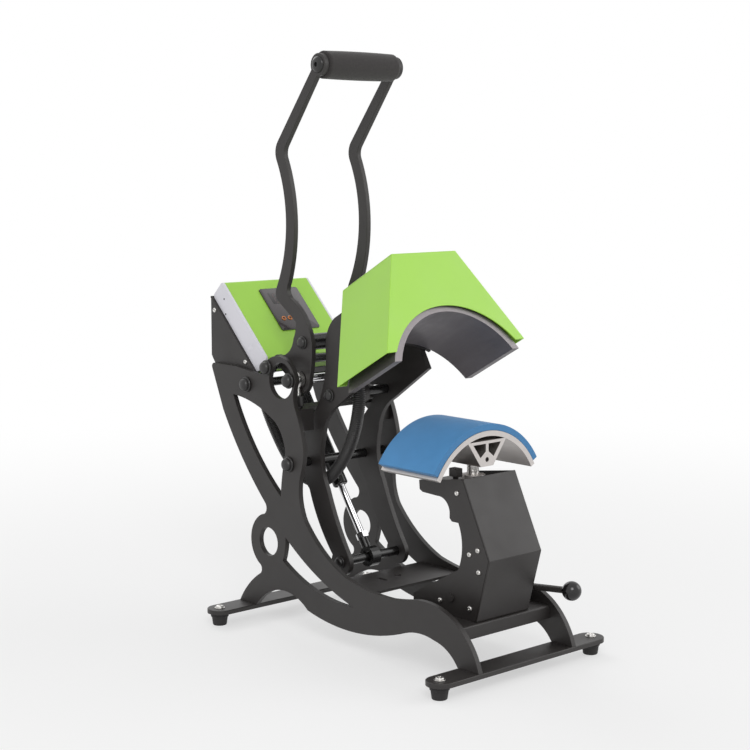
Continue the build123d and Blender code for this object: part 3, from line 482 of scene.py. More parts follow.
def stand(bm, base, axis):
    """Put a bmesh that is built along +Z on a base point, along an axis."""
    turn = axis.normalized().to_track_quat("Z", "Y").to_matrix().to_4x4()
    bmesh.ops.transform(bm, matrix=Matrix.Translation(base) @ turn, verts=bm.verts)


def turned(profile, base, axis, steps=32):
    """Bmesh of a turned piece: a profile of (radius, height) pairs in mm round an axis at a base point."""
    bm = bmesh.new()
    verts = [bm.verts.new((radius * MM, 0, height * MM)) for radius, height in profile]
    edges = [bm.edges.new(pair) for pair in zip(verts, verts[1:])]
    bmesh.ops.spin(
        bm,
        geom=verts + edges,
        cent=(0, 0, 0),
        axis=UP,
        dvec=(0, 0, 0),
        angle=2 * pi,
        steps=steps,
        use_merge=True,
        use_duplicate=False,
    )
    bmesh.ops.remove_doubles(bm, verts=bm.verts, dist=0.002 * MM)
    bmesh.ops.recalc_face_normals(bm, faces=bm.faces)
    stand(bm, base, axis)
    return bm


def join(parts):
    """One bmesh from several."""
    whole = bmesh.new()
    for part in parts:
        mesh = bpy.data.meshes.new("part")
        part.to_mesh(mesh)
        part.free()
        whole.from_mesh(mesh)
        bpy.data.meshes.remove(mesh)
    return whole


def turned_piece(name, profile, base, axis, body, slot, material, steps=32, crease=35):
    bm = turned(profile, base, axis, steps)
    return add_piece(name, mesh_from(bm, name, crease), body, slot, material)


def helix_thread(radius, depth, pitch, height, base, axis, steps=20):
    """Screw thread: a ridge swept up a helix, in mm."""
    bm = bmesh.new()
    profile = [(radius - depth, 0), (radius, 0.35 * pitch), (radius, 0.6 * pitch), (radius - depth, pitch)]
    verts = [bm.verts.new((r * MM, 0, h * MM)) for r, h in profile]
    edges = [bm.edges.new(pair) for pair in zip(verts, verts[1:])]
    turns = max(1, int(height / pitch) - 1)
    bmesh.ops.spin(
        bm,
        geom=verts + edges,
        cent=(0, 0, 0),
        axis=UP,
        dvec=(0, 0, pitch * MM / steps),
        angle=2 * pi * turns,
        steps=steps * turns,
        use_merge=False,
        use_duplicate=False,
    )
    bmesh.ops.remove_doubles(bm, verts=bm.verts, dist=0.003 * MM)
    bmesh.ops.recalc_face_normals(bm, faces=bm.faces)
    stand(bm, base, axis)
    return bm


def cross_head(radius, height):
    """Pan head with a cross recess, along +Z from the origin, in mm."""
    bm = turned(
        [
            (0, -0.2),
            (radius, -0.2),
            (radius, 0.45 * height),
            (0.93 * radius, 0.74 * height),
            (0.72 * radius, 0.93 * height),
            (0.4 * radius, height),
            (0, height),
        ],
        Vector(),
        UP,
        24,
    )
    head = bpy.data.objects.new("head", mesh_from(bm, "head", 50))
    cutter = bmesh.new()
    for angle in (0, pi / 2):
        arm = bmesh.ops.create_cube(cutter, size=1)["verts"]
        bmesh.ops.scale(cutter, vec=Vector((1.24 * radius, 0.3 * radius, 0.9 * height)) * MM, verts=arm)
        for vert in arm:
            if vert.co.z < 0:
                vert.co.x *= 0.45
                vert.co.y *= 0.6
        bmesh.ops.translate(cutter, vec=(0, 0, 0.85 * height * MM), verts=arm)
        bmesh.ops.rotate(cutter, cent=(0, 0, 0), matrix=Matrix.Rotation(angle, 3, "Z"), verts=arm)
    tool = bpy.data.objects.new("recess", mesh_from(cutter, "recess"))
    for piece in (head, tool):
        bpy.context.scene.collection.objects.link(piece)
    cut = head.modifiers.new("recess", "BOOLEAN")
    cut.operation = "DIFFERENCE"
    cut.solver = "EXACT"
    cut.use_self = True
    cut.object = tool
    depsgraph = bpy.context.evaluated_depsgraph_get()
    mesh = bpy.data.meshes.new_from_object(head.evaluated_get(depsgraph), depsgraph=depsgraph)
    for piece in (head, tool):
        bpy.data.objects.remove(piece)
    return mesh


def copies(mesh, seats):
    """One bmesh with a copy of a mesh on each seat, a base point and an axis."""
    bm = bmesh.new()
    for base, axis, spin in seats:
        before = len(bm.verts)
        bm.from_mesh(mesh)
        bm.verts.ensure_lookup_table()
        turn = axis.to_track_quat("Z", "Y").to_matrix().to_4x4() @ Matrix.Rotation(spin, 4, "Z")
        bmesh.ops.transform(bm, matrix=Matrix.Translation(base) @ turn, verts=bm.verts[before:])
    return bm


def cover_cap_profile(radius, height):
    """Two-step domed cover of a shaft end: a skirt, a step and a dome."""
    return [
        (0, 0),
        (radius - 0.4, 0),
        (radius, 0.4),
        (radius, 0.22 * height),
        (radius - 0.5, 0.3 * height),
        (0.84 * radius, 0.33 * height),
        (0.83 * radius, 0.45 * height),
        (0.8 * radius, 0.6 * height),
        (0.7 * radius, 0.78 * height),
        (0.5 * radius, 0.92 * height),
        (0.25 * radius, 0.985 * height),
        (0, height),
    ]


def make_cover_caps(name, node, pivots, inner_x, radius, height):
    """Domed covers on both ends of each shaft."""
    parts = []
    for y, z in pivots:
        for side in (-1, 1):
            profile = cover_cap_profile(radius, height)
            parts.append(turned(profile, place(side * inner_x, y, z), side * ACROSS, 36))
    bm = join(parts)
    body = frame["nodes"][node]["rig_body"]
    piece = add_piece(name, mesh_from(bm, name, 50), body, "black_plastic", "plastic")
    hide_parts(node)


class PressOperator:
    """What every operator of this file has in common."""

    bl_options = {"REGISTER", "UNDO"}

    @property
    def sizes(self):
        return bpy.context.scene.press_sizes

    @property
    def colours(self):
        return bpy.context.scene.press_colours


class PRESS_OT_materials(PressOperator, bpy.types.Operator):
    """Make the finishes of the press"""

    bl_idname = "press.materials"
    bl_label = "Materials"

    def execute(self, context):
        make_materials(self.colours)
        return {"FINISHED"}


class PRESS_OT_frame(PressOperator, bpy.types.Operator):
    """Side plates, foot bars and the sheets between them, with rounded edges"""

    bl_idname = "press.frame"
    bl_label = "Frame plates"

    def execute(self, context):
        edge = self.sizes.edge
        for node in ("left_side_plate", "right_side_plate", "foot_bars"):
            soften(node, "black_steel", "black_powder_coat", edge)
        for node in ("base_plate", "front_cross_plate", "rear_cross_plate"):
            soften(node, "black_steel", "black_powder_coat", 0.75 * edge)
        for node in ("frame_shafts", "lobe_bolts"):
            dress(node, "tube_paint")
        dress("handle_shaft", "chrome")
        return {"FINISHED"}


class PRESS_OT_feet(PressOperator, bpy.types.Operator):
    """Tapered rubber feet with a moulded rim, and the bolts that hold them"""

    bl_idname = "press.feet"
    bl_label = "Feet and bolts"

    def execute(self, context):
        places = [(x, y) for x in (-111.4, 111.4) for y in (-176.2, 176.2)]
        foot = [
            (0, 0),
            (5.8, 0),
            (7.3, 0.3),
            (7.8, 1),
            (8.7, 7.2),
            (9.0, 9.4),
            (9.9, 9.9),
            (10, 10.4),
            (10, 13.3),
            (9.6, 13.8),
            (0, 13.8),
        ]
        parts = []
        for x, y in places:
            base = Vector((x, y + SIDE_Y, 0)) * MM
            parts.append(turned(foot, base, UP, 36))
        mesh = mesh_from(join(parts), "moulded_feet", 45)
        piece = add_piece("moulded_feet", mesh, "frame", "rubber", "rubber")
        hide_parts("rubber_feet")
        head = cross_head(4.4, 2.4)
        seats = [(place(x, y, 0.7), UP, 0.4 + index) for index, (x, y) in enumerate(places)]
        bolts = copies(head, seats)
        washer = [(3, 0), (5.6, 0), (5.8, 0.2), (5.8, 0.6), (5.6, 0.8), (3, 0.8)]
        rings = [turned(washer, place(x, y, 0), UP, 32) for x, y in places]
        bm = join([bolts] + rings)
        piece = add_piece("foot_bolt_heads", mesh_from(bm, "foot_bolt_heads", 40), "frame", "silver", "zinc")
        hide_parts("foot_bolts")
        return {"FINISHED"}


class PRESS_OT_shaft_covers(PressOperator, bpy.types.Operator):
    """Domed covers over the ends of every shaft"""

    bl_idname = "press.shaft_covers"
    bl_label = "Shaft covers"

    def execute(self, context):
        make_cover_caps(
            "frame_cap_domes",
            "frame_caps",
            [SPRING_PIVOT, ARM_PIVOT, HANDLE_PIVOT, LOBE_BOLT],
            PLATE_OUTER,
            8.5,
            8,
        )
        make_cover_caps("arm_cap_domes", "arm_caps", [LINK_PIVOT, LOWER_ARM_PIVOT], ARM_OUTER, 7, 5.5)
        make_cover_caps("handle_cap_domes", "handle_caps", [CROSS_TUBE, STOP_PIN], BAR_OUTER, 7, 5.5)
        return {"FINISHED"}


class PRESS_OT_adjusters(PressOperator, bpy.types.Operator):
    """Eye bolts with threads and the knurled pressure knobs"""

    bl_idname = "press.adjusters"
    bl_label = "Pressure adjusters"

    def execute(self, context):
        dress("eye_bolts", "zinc")
        pitch = self.sizes.thread_pitch / MM
        threads = []
        for side in (-1, 1):
            base = place(side * 59.5, HANDLE_PIVOT[0], 244)
            threads.append(helix_thread(3.25, 0.45, pitch, 11, base, UP))
        bm = join(threads)
        add_piece("adjuster_threads", mesh_from(bm, "adjuster_threads", 60), "frame", "silver", "zinc")
        for side, node, body in (
            (-1, "left_adjuster_knob", "left_knob"),
            (1, "right_adjuster_knob", "right_knob"),
        ):
            self.knob(side, node, body)
        return {"FINISHED"}

    def knob(self, side, node, body):
        """Knob turned with a waist, its rim cut with straight knurls."""
        profile = [
            (3.05, 0),
            (4.8, 0),
            (5.2, 0.4),
            (5.2, 2.2),
            (6.2, 3),
            (6.2, 12.6),
            (5.6, 13.6),
            (4.4, 14),
            (3.05, 14),
        ]
        base = place(side * 59.5, HANDLE_PIVOT[0], 230)
        bm = turned(profile, base, UP, 56)
        for vert in bm.verts:
            away = vert.co - base
            out = Vector((away.x, away.y, 0))
            if out.length > 5.9 * MM and 2.9 * MM < away.z < 12.8 * MM:
                turn = round(atan2(out.y, out.x) / (2 * pi / 56))
                if turn % 2:
                    vert.co -= out.normalized() * 0.5 * MM
        mesh = mesh_from(bm, f"{node}_knurled", 25)
        piece = add_piece(f"{node}_knurled", mesh, body, "black_plastic", "plastic")
        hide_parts(node)


PEDESTAL_OUTER = 38
PEDESTAL_SCREWS = [(-125, 166), (-143.2, 106), (-154.9, 112), (-156.4, 90), (-101.7, 51.2), (-144.5, 50.7)]
BRACKET_OUTER = 66
BRACKET_SCREWS = [(239.3, 328.2), (183, 273.5)]


class PRESS_OT_pedestal(PressOperator, bpy.types.Operator):
    """Folded pedestal and its cross-head screws"""

    bl_idname = "press.pedestal"
    bl_label = "Pedestal"

    def execute(self, context):
        edge = self.sizes.edge
        soften("pedestal_side_plates", "black_steel", "black_powder_coat", edge)
        soften("pedestal_front_cover", "black_steel", "black_powder_coat", self.sizes.fold, 3, 15)
        soften("pedestal_top_plate", "black_steel", "black_powder_coat", 0.75 * edge)
        head = cross_head(2.7, 1.6)
        seats = []
        for x, points in ((PEDESTAL_OUTER, PEDESTAL_SCREWS), (BRACKET_OUTER, BRACKET_SCREWS)):
            for index, (y, z) in enumerate(points):
                for side in (-1, 1):
                    seats.append((place(side * x, y, z), side * ACROSS, 0.5 + 1.3 * index))
        bm = copies(head, seats)
        mesh = mesh_from(bm, "cross_head_screws", 40)
        piece = add_piece("cross_head_screws", mesh, "frame", "silver", "zinc")
        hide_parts("panel_screws")
        return {"FINISHED"}


class PRESS_OT_lower_platen(PressOperator, bpy.types.Operator):
    """Extruded lower platen, its silicone pad, threaded stud and pressure nut"""

    bl_idname = "press.lower_platen"
    bl_label = "Lower platen"

    def execute(self, context):
        soften("lower_platen", "aluminium", "extrusion", 0.0005)
        bm = cad_copy("silicone_pad")
        round_edges(bm, 0.0009, 3)
        bm.normal_update()
        # Faces that face front, back or down get the darker silicone, as painted shade.
        for face in bm.faces:
            if abs(face.normal.y) > 0.7 or face.normal.z < -0.2:
                face.material_index = 1
        mesh = mesh_from(bm, "silicone_pad_rounded")
        pad = add_piece(
            "silicone_pad_rounded", mesh, "platen_lift", "blue_silicone", "silicone", "silicone_edge"
        )
        weighted(pad)
        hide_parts("silicone_pad")
        dress("platen_stud", "zinc")
        thread = helix_thread(6.3, 0.6, 1.5, 10, place(0, -110, 179.4), UP, 28)
        add_piece("stud_thread", mesh_from(thread, "stud_thread", 60), "platen_lift", "silver", "zinc")
        soften("pressure_nut", "silver", "extrusion", 0.0006, 3)
        return {"FINISHED"}


class PRESS_OT_clamp(PressOperator, bpy.types.Operator):
    """Cap clamp block and the tension lever with its ball"""

    bl_idname = "press.clamp"
    bl_label = "Clamp and lever"

    def execute(self, context):
        soften("clamp_block", "black_steel", "black_powder_coat", 0.0005)
        soften("tension_lever", "black_steel", "black_powder_coat", 0.0003)
        pivot = place(46, -118, 57)
        centre = place(46, -205.8, 66.2)
        along = (centre - pivot).normalized()
        ball = [(0, -10.6), (3.9, -10.6), (4.2, -10.2), (4.3, -9.2)]
        ball += [(10 * sin(radians(a)), -10 * cos(radians(a))) for a in range(30, 176, 6)]
        ball.append((0, 10))
        turned_piece(
            "lever_ball_knob", ball, centre, along, "lever", "black_plastic", "gloss_plastic", 48, 50
        )
        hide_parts("lever_ball")
        return {"FINISHED"}


BOX_TOP = (229.2, 361.4)
BOX_BOTTOM = (148.3, 279.8)
BOX_LENGTH = ((BOX_TOP[0] - BOX_BOTTOM[0]) ** 2 + (BOX_TOP[1] - BOX_BOTTOM[1]) ** 2) ** 0.5
SLOPE_Y = (BOX_TOP[0] - BOX_BOTTOM[0]) / BOX_LENGTH
SLOPE_Z = (BOX_TOP[1] - BOX_BOTTOM[1]) / BOX_LENGTH


def on_box(x, down, out):
    """Point on the control box's sloping front: across, down the slope from its top, and out of it, in mm."""
    return place(
        x,
        BOX_TOP[0] - down * SLOPE_Y - out * SLOPE_Z,
        BOX_TOP[1] - down * SLOPE_Z + out * SLOPE_Y,
    )


BOX_OUT = Vector((0, -SLOPE_Z, SLOPE_Y))
BOX_UP = Vector((0, SLOPE_Y, SLOPE_Z))
BOX_TURN = Matrix((ACROSS, BOX_UP, BOX_OUT)).transposed().to_4x4()


def box_plate(x, down, width, height, base, thickness, corner=0.0, bevel=0.15):
    """Thin rounded plate on the control box's front, in mm."""
    bm = bmesh.new()
    verts = bmesh.ops.create_cube(bm, size=1)["verts"]
    bmesh.ops.scale(bm, vec=Vector((width, height, thickness)) * MM, verts=verts)
    if corner:
        posts = [e for e in bm.edges if abs((e.verts[0].co - e.verts[1].co).normalized().z) > 0.9]
        bmesh.ops.bevel(
            bm, geom=posts, offset=corner * MM, segments=6, profile=0.5, affect="EDGES", material=-1
        )
    rim = [e for e in bm.edges if all(v.co.z > 0 for v in e.verts) and e.calc_face_angle(0) > 0.5]
    bmesh.ops.bevel(bm, geom=rim, offset=bevel * MM, segments=2, profile=0.5, affect="EDGES", material=-1)
    bmesh.ops.translate(bm, vec=(0, 0, thickness / 2 * MM), verts=bm.verts)
    bmesh.ops.transform(bm, matrix=Matrix.Translation(on_box(x, down, base)) @ BOX_TURN, verts=bm.verts)
    return bm


PANEL_OUTER = 63
PANEL_HOLES = [(225.5, 341.5), (222.8, 324.5)]
PANEL_RING = (178.5, 290.5)


class PRESS_OT_control_box(PressOperator, bpy.types.Operator):
    """Folded cover, side panels and bracket of the control box"""

    bl_idname = "press.control_box"
    bl_label = "Control box"

    def execute(self, context):
        soften("box_cover", "green_paint", "green_powder_coat", 0.0004)
        soften("box_side_panels", "white_panel", "white_paint", 0.0006, 3)
        soften("box_bracket", "black_steel", "black_powder_coat", self.sizes.edge)
        self.panel_marks()
        return {"FINISHED"}

    def panel_marks(self):
        """Two pilot holes, drawn as thin black discs of painted shade, and a pressed knock-out ring on each
        side panel.
        """
        dots = []
        rings = []
        dot = [(0, 0), (1.0, 0), (1.1, 0.06), (0, 0.08)]
        ring = [(3.6, 0), (3.6, 0.16), (3.9, 0.26), (4.2, 0.16), (4.2, 0)]
        for side in (-1, 1):
            out = side * ACROSS
            for y, z in PANEL_HOLES:
                dots.append(turned(dot, place(side * PANEL_OUTER, y, z), out, 20))
            rings.append(turned(ring, place(side * PANEL_OUTER, *PANEL_RING), out, 36))
        # Thin near-black discs on the panels stand for the shade in the holes: painted shade.
        mesh = mesh_from(join(dots), "panel_holes")
        add_piece("panel_holes", mesh, "frame", "black_plastic", "dark_gap")
        mesh = mesh_from(join(rings), "panel_knock_outs", 60)
        add_piece("panel_knock_outs", mesh, "frame", "white_panel", "white_paint")


class PRESS_OT_display(PressOperator, bpy.types.Operator):
    """Display film with its window, border line and four ringed buttons"""

    bl_idname = "press.display"
    bl_label = "Display"

    def execute(self, context):
        soften("display_panel", "display", "film", 0.0003, 2)
        window = box_plate(8, 31, 38, 17, 1.5, 0.25, 1.2)
        add_piece("display_window", mesh_from(window, "display_window", 30), "frame", "display", "window")
        self.digits()
        self.border()
        for number, x in enumerate((-9, 0, 9, 18), start=1):
            self.button(number, x)
        return {"FINISHED"}

    def digits(self):
        """Three unlit seven-segment digits behind the window."""
        bars = []
        for x in (-3, 8, 19):
            for down in (24.6, 31, 37.4):
                bars.append(box_plate(x, down, 4.4, 0.9, 1.72, 0.08, 0.3, 0.02))
            for dx in (-2.9, 2.9):
                for down in (27.8, 34.2):
                    bars.append(box_plate(x + dx, down, 0.9, 4.8, 1.72, 0.08, 0.3, 0.02))
        mesh = mesh_from(join(bars), "display_digits", 30)
        add_piece("display_digits", mesh, "frame", "display", "dim_segment")

    def border(self):
        """Dark printed line round the film."""
        outer = box_plate(8, 47, 55.2, 61.2, 1.44, 0.1, 3, 0.03)
        add_piece("display_border", mesh_from(outer, "display_border", 30), "frame", "display", "film_line")
        inner = box_plate(8, 47, 52.6, 58.6, 1.5, 0.08, 2.2, 0.03)
        add_piece("display_field", mesh_from(inner, "display_field", 30), "frame", "display", "film")

    def button(self, number, x):
        """Button with a slightly domed centre in a raised ring."""
        down = 61.5
        ring = [(0, -3.5), (2.98, -3.5), (2.98, 0.5), (2.8, 1.1), (2.3, 1.35), (1.75, 1.15), (1.6, 0.5)]
        base = on_box(x, down, 1.5)
        body = f"button_{number}"
        ring_bm = turned(ring, base, BOX_OUT, 28)
        mesh = mesh_from(ring_bm, f"{body}_ring", 50)
        piece = add_piece(f"{body}_ring", mesh, body, "orange_plastic", "button")
        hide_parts(f"panel_button_{number}")
        dot = turned([(0, 0), (1.62, 0), (1.62, 0.6), (1.2, 0.85), (0, 0.95)], base, BOX_OUT, 24)
        add_piece(f"{body}_centre", mesh_from(dot, f"{body}_centre", 50), body, "black_plastic", "button_dot")


class PRESS_OT_power(PressOperator, bpy.types.Operator):
    """Power inlet and rocker on the back of the box"""

    bl_idname = "press.power"
    bl_label = "Power inlet"

    def execute(self, context):
        soften("power_inlet", "black_plastic", "plastic", 0.0003)
        soften("power_rocker", "black_plastic", "gloss_plastic", 0.0003)
        dress("box_gland", "plastic")
        dress("head_gland", "plastic")
        return {"FINISHED"}


class PRESS_OT_head(PressOperator, bpy.types.Operator):
    """Folded head cover, heated platen, bracket and back plate"""

    bl_idname = "press.head"
    bl_label = "Upper head"

    def execute(self, context):
        soften("head_cover", "green_paint", "green_powder_coat", self.sizes.fold * 0.75, 3, 20)
        bm = cad_copy("upper_platen")
        round_edges(bm, 0.0005, 2)
        bm.normal_update()
        tilt = radians(29)
        front = Vector((0, -cos(tilt), sin(tilt)))
        for face in bm.faces:
            if face.normal.dot(front) > 0.9:
                face.material_index = 1
        mesh = mesh_from(bm, "upper_platen_rounded")
        platen = add_piece("upper_platen_rounded", mesh, "head", "grey_platen", "platen", "platen_rim")
        weighted(platen)
        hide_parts("upper_platen")
        for node in ("head_bracket", "back_plate"):
            soften(node, "black_steel", "black_powder_coat", self.sizes.edge)
        return {"FINISHED"}


class PRESS_OT_arms(PressOperator, bpy.types.Operator):
    """Arms that carry the head"""

    bl_idname = "press.arms"
    bl_label = "Arms"

    def execute(self, context):
        for node in ("left_arm", "right_arm"):
            soften(node, "black_steel", "black_powder_coat", self.sizes.edge)
        dress("arm_cross_shafts", "tube_paint")
        return {"FINISHED"}


class PRESS_OT_handle(PressOperator, bpy.types.Operator):
    """Handle bars, cross tube, stop pin and the foam grip"""

    bl_idname = "press.handle"
    bl_label = "Handle"

    def execute(self, context):
        for node in ("left_handle_bar", "right_handle_bar"):
            soften(node, "black_steel", "black_powder_coat", self.sizes.edge * 1.5, 3)
        for node in ("cross_tube", "stop_pin", "grip_tube"):
            dress(node, "tube_paint")
        self.foam()
        self.end_bolts()
        return {"FINISHED"}

    def foam(self):
        """Foam tube between the bars with soft ends and a slight swell."""
        half = 49.7
        crown = self.sizes.foam_crown / MM
        profile = [(10.1, -half), (12.4, -half), (13.9, -half + 0.5), (14.7, -half + 1.6)]
        for step in range(-8, 9):
            share = step / 8
            profile.append((14.7 + crown * (1 - share * share), (half - 4) * share))
        profile += [(14.7, half - 1.6), (13.9, half - 0.5), (12.4, half), (10.1, half), (10.1, -half)]
        bm = turned(profile, place(0, *GRIP), ACROSS, 48)
        foam = add_piece("foam_grip_sleeve", mesh_from(bm, "foam_grip_sleeve", 60), "handle", "foam", "foam")
        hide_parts("foam_grip")

    def end_bolts(self):
        """Button heads with a hexagon socket in each end of the grip."""
        parts = []
        for side in (-1, 1):
            base = place(side * BAR_OUTER, *GRIP)
            head = [
                (0, 1.2),
                (2.2, 1.2),
                (2.4, 2.9),
                (3.6, 2.9),
                (6.4, 2.4),
                (8.2, 1.4),
                (8.9, 0.3),
                (8.9, -0.3),
                (3.9, -0.3),
                (3.9, -20),
                (0, -20),
            ]
            parts.append(turned(head, base, side * ACROSS, 36))
        mesh = mesh_from(join(parts), "grip_end_bolts", 40)
        piece = add_piece("grip_end_bolts", mesh, "handle", "black_steel", "tube_paint")
        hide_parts("grip_bolts")


class PRESS_OT_links(PressOperator, bpy.types.Operator):
    """Drive link and gas spring"""

    bl_idname = "press.links"
    bl_label = "Links"

    def execute(self, context):
        soften("drive_link", "black_steel", "black_powder_coat", 0.0006, 3)
        dress("gas_spring_body", "tube_paint")
        dress("gas_spring_rod", "chrome")
        soften("gas_spring_eye", "black_steel", "tube_paint", 0.0005)
        return {"FINISHED"}


# Conduit route in the side view, in mm, at CONDUIT_X across.
CONDUIT_X = -26
CONDUIT_RADIUS = 7
CONDUIT_ROUTE = [
    (24.68, 304.59),
    (47.42, 291.98),
    (34, 250),
    (42, 208),
    (62, 172),
    (92, 144),
    (126, 142),
    (154, 160),
    (178, 188),
    (200, 222),
    (208.87, 254.95),
    (191.82, 271.85),
]


class PRESS_OT_conduit(PressOperator, bpy.types.Operator):
    """Ribbed conduit from the head to the control box"""

    bl_idname = "press.conduit"
    bl_label = "Conduit"

    def execute(self, context):
        line = self.centre_line()
        bm, points = self.ribbed_tube(line)
        mesh = mesh_from(bm, "ribbed_conduit", 80)
        piece = bpy.data.objects.new("ribbed_conduit", mesh)
        context.scene.collection.objects.link(piece)
        mesh.materials.append(MATERIALS["nylon"])
        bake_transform(piece)
        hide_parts("conduit")
        return {"FINISHED"}

    def centre_line(self):
        """Points of the smooth line that the route's points control."""
        curve = bpy.data.curves.new("conduit_line", "CURVE")
        curve.dimensions = "3D"
        curve.resolution_u = 24
        spline = curve.splines.new("NURBS")
        spline.points.add(len(CONDUIT_ROUTE) - 1)
        for point, (y, z) in zip(spline.points, CONDUIT_ROUTE):
            point.co = (*place(CONDUIT_X, y, z), 1)
        spline.order_u = 3
        spline.use_endpoint_u = True
        holder = bpy.data.objects.new("conduit_line", curve)
        context = bpy.context
        context.scene.collection.objects.link(holder)
        depsgraph = context.evaluated_depsgraph_get()
        mesh = bpy.data.meshes.new_from_object(holder.evaluated_get(depsgraph), depsgraph=depsgraph)
        points = [v.co.copy() for v in mesh.vertices]
        bpy.data.objects.remove(holder)
        return points

    def ribbed_tube(self, line):
        """Ring after ring along the line, in and out with the ribs."""
        lengths = [0.0]
        for a, b in zip(line, line[1:]):
            lengths.append(lengths[-1] + (b - a).length)
        total = lengths[-1]
        ribs = int((total - 0.004) / self.sizes.rib_pitch)
        pitch = total / ribs
        shape = ((0, 6.1), (0.2, 6.1), (0.38, 6.9), (0.55, CONDUIT_RADIUS), (0.8, 6.9))
        stops = [(rib + share, radius) for rib in range(ribs) for share, radius in shape]
        stops.append((ribs, 6.1))
        bm = bmesh.new()
        points = []
        ring = bmesh.ops.create_circle(bm, cap_ends=False, radius=1, segments=20)["verts"]
        edges = list({e for v in ring for e in v.link_edges})
        index = 0
        for step, (share, radius) in enumerate(stops):
            distance = min(share * pitch, total)
            while index < len(line) - 2 and lengths[index + 1] < distance:
                index += 1
            a, b = line[index], line[index + 1]
            part = (distance - lengths[index]) / max(lengths[index + 1] - lengths[index], 1e-9)
            centre = a.lerp(b, part)
            ahead = self.direction(line, lengths, distance)
            points.append(centre)
            turn = Matrix((ACROSS, ahead.cross(ACROSS), ahead)).transposed().to_4x4()
            placed = Matrix.Translation(centre) @ turn @ Matrix.Diagonal((radius * MM, radius * MM, 1, 1))
            if step:
                made = bmesh.ops.extrude_edge_only(bm, edges=edges)["geom"]
                ring = [g for g in made if isinstance(g, bmesh.types.BMVert)]
                edges = [g for g in made if isinstance(g, bmesh.types.BMEdge)]
                bmesh.ops.transform(bm, matrix=placed @ last.inverted(), verts=ring)
            else:
                bmesh.ops.transform(bm, matrix=placed, verts=ring)
            last = placed
        loops = [e for e in bm.edges if len(e.link_faces) == 1]
        bmesh.ops.holes_fill(bm, edges=loops, sides=0)
        bmesh.ops.recalc_face_normals(bm, faces=bm.faces)
        return bm, points

    def direction(self, line, lengths, distance):
        """Direction of the line at a distance, averaged over a few millimetres."""
        def at(where):
            where = min(max(where, 0.0), lengths[-1])
            for a, b, start, end in zip(line, line[1:], lengths, lengths[1:]):
                if end >= where:
                    return a.lerp(b, (where - start) / max(end - start, 1e-9))
            return line[-1]

        return (at(distance + 0.002) - at(distance - 0.002)).normalized()


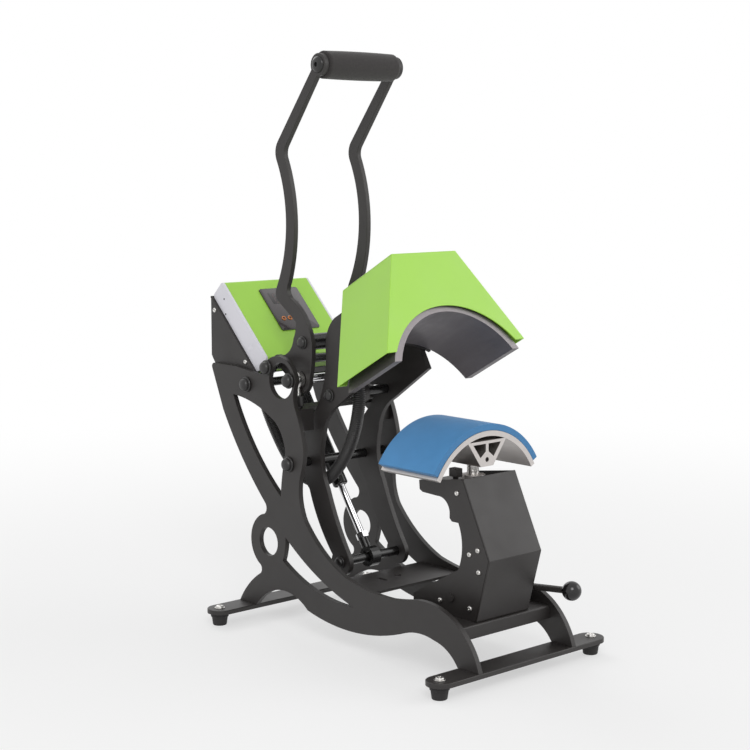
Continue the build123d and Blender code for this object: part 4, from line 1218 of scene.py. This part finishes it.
class PRESS_OT_stage(PressOperator, bpy.types.Operator):
    """Pale floor, soft lamps and the camera"""

    bl_idname = "press.stage"
    bl_label = "Stage"

    def execute(self, context):
        self.floor()
        self.lamps()
        self.camera()
        return {"FINISHED"}

    def floor(self):
        bm = bmesh.new()
        bmesh.ops.create_circle(bm, cap_ends=True, radius=9, segments=96)
        mesh = mesh_from(bm, "studio_floor")
        floor = bpy.data.objects.new("studio_floor", mesh)
        bpy.context.scene.collection.objects.link(floor)
        material = bpy.data.materials.new("pale_studio_floor")
        material.use_nodes = True
        tree = material.node_tree
        tree.nodes.clear()
        shade = add_node(tree, "ShaderNodeBsdfDiffuse", {"Color": rgba(self.colours.floor)})
        glow = add_node(tree, "ShaderNodeEmission", {"Color": (1, 1, 1, 1), "Strength": 1.0})
        where = add_node(tree, "ShaderNodeTexCoord").outputs["Object"]
        away = add_node(tree, "ShaderNodeVectorMath", {0: where}, operation="LENGTH")
        fade = add_node(
            tree,
            "ShaderNodeMapRange",
            {
                "Value": away.outputs["Value"],
                "From Min": 0.35,
                "From Max": 1.6,
                "To Min": 0.55,
                "To Max": 1.0,
            },
            interpolation_type="SMOOTHSTEP",
        )
        path = add_node(tree, "ShaderNodeLightPath")
        seen = add_node(
            tree,
            "ShaderNodeMath",
            {0: path.outputs["Is Camera Ray"], 1: path.outputs["Is Glossy Ray"]},
            operation="MAXIMUM",
        )
        share = add_node(
            tree, "ShaderNodeMath", {0: seen.outputs[0], 1: fade.outputs["Result"]}, operation="MULTIPLY"
        )
        blend = add_node(
            tree,
            "ShaderNodeMixShader",
            {0: share.outputs[0], 1: shade.outputs["BSDF"], 2: glow.outputs["Emission"]},
        )
        add_node(tree, "ShaderNodeOutputMaterial", {"Surface": blend.outputs["Shader"]})
        mesh.materials.append(material)

    def lamps(self):
        world = bpy.data.worlds.new("studio")
        bpy.context.scene.world = world
        world.use_nodes = True
        tree = world.node_tree
        tree.nodes.clear()
        path = add_node(tree, "ShaderNodeLightPath")
        seen = add_node(
            tree,
            "ShaderNodeMath",
            {0: path.outputs["Is Camera Ray"], 1: path.outputs["Is Glossy Ray"]},
            operation="MAXIMUM",
        )
        strength = add_node(
            tree, "ShaderNodeMapRange", {"Value": seen.outputs[0], "To Min": 0.52, "To Max": 1.0}
        )
        background = add_node(
            tree, "ShaderNodeBackground", {"Color": (1, 1, 1, 1), "Strength": strength.outputs["Result"]}
        )
        add_node(tree, "ShaderNodeOutputWorld", {"Surface": background.outputs["Background"]})
        target = Vector((0, -0.02, 0.33))
        for name, spot, power, size in (
            ("key_lamp", (-1.5, -1.9, 1.9), 26, 1.4),
            ("fill_lamp", (1.9, -1.3, 1.2), 11, 1.6),
            ("back_lamp", (0.3, 1.9, 1.8), 12, 1.5),
        ):
            lamp = bpy.data.lights.new(name, "AREA")
            lamp.shape = "DISK"
            lamp.size = size
            lamp.energy = power
            holder = bpy.data.objects.new(name, lamp)
            bpy.context.scene.collection.objects.link(holder)
            holder.location = spot
            holder.rotation_euler = (target - Vector(spot)).to_track_quat("-Z", "Y").to_euler()

    def camera(self):
        data = bpy.data.cameras.new("photo_camera")
        data.lens = self.sizes.camera_lens
        data.sensor_width = 36
        data.sensor_fit = "HORIZONTAL"
        data.clip_start = 0.05
        data.clip_end = 50
        camera = bpy.data.objects.new("photo_camera", data)
        bpy.context.scene.collection.objects.link(camera)
        camera.location = place(-1205.8, -1290.1, 500)
        forward = Vector((0.66613, 0.73463, -0.12880))
        camera.rotation_euler = forward.to_track_quat("-Z", "Y").to_euler()
        bpy.context.scene.camera = camera
        bpy.context.scene.view_settings.view_transform = "Standard"


OPERATORS = (
    PRESS_OT_materials,
    PRESS_OT_stage,
    PRESS_OT_conduit,
    PRESS_OT_frame,
    PRESS_OT_feet,
    PRESS_OT_shaft_covers,
    PRESS_OT_adjusters,
    PRESS_OT_pedestal,
    PRESS_OT_lower_platen,
    PRESS_OT_clamp,
    PRESS_OT_control_box,
    PRESS_OT_display,
    PRESS_OT_power,
    PRESS_OT_head,
    PRESS_OT_arms,
    PRESS_OT_handle,
    PRESS_OT_links,
)


class PRESS_PT_panel(bpy.types.Panel):
    """Lists the pieces of the heat press"""

    bl_idname = "PRESS_PT_panel"
    bl_label = "Heat press"
    bl_space_type = "VIEW_3D"
    bl_region_type = "UI"
    bl_category = "Heat press"

    def draw(self, context):
        layout = self.layout
        for group in (context.scene.press_colours, context.scene.press_sizes):
            for key in group.__annotations__:
                layout.prop(group, key)
        for operator in OPERATORS:
            layout.operator(operator.bl_idname)


CLASSES = (PressColours, PressSizes, *OPERATORS, PRESS_PT_panel)


def register():
    for entry in CLASSES:
        bpy.utils.register_class(entry)
    bpy.types.Scene.press_colours = PointerProperty(type=PressColours)
    bpy.types.Scene.press_sizes = PointerProperty(type=PressSizes)


def unregister():
    del bpy.types.Scene.press_sizes
    del bpy.types.Scene.press_colours
    for entry in reversed(CLASSES):
        bpy.utils.unregister_class(entry)


def main():
    register()
    for operator in OPERATORS:
        group, name = operator.bl_idname.split(".")
        getattr(getattr(bpy.ops, group), name)()


if __name__ == "__main__":
    main()
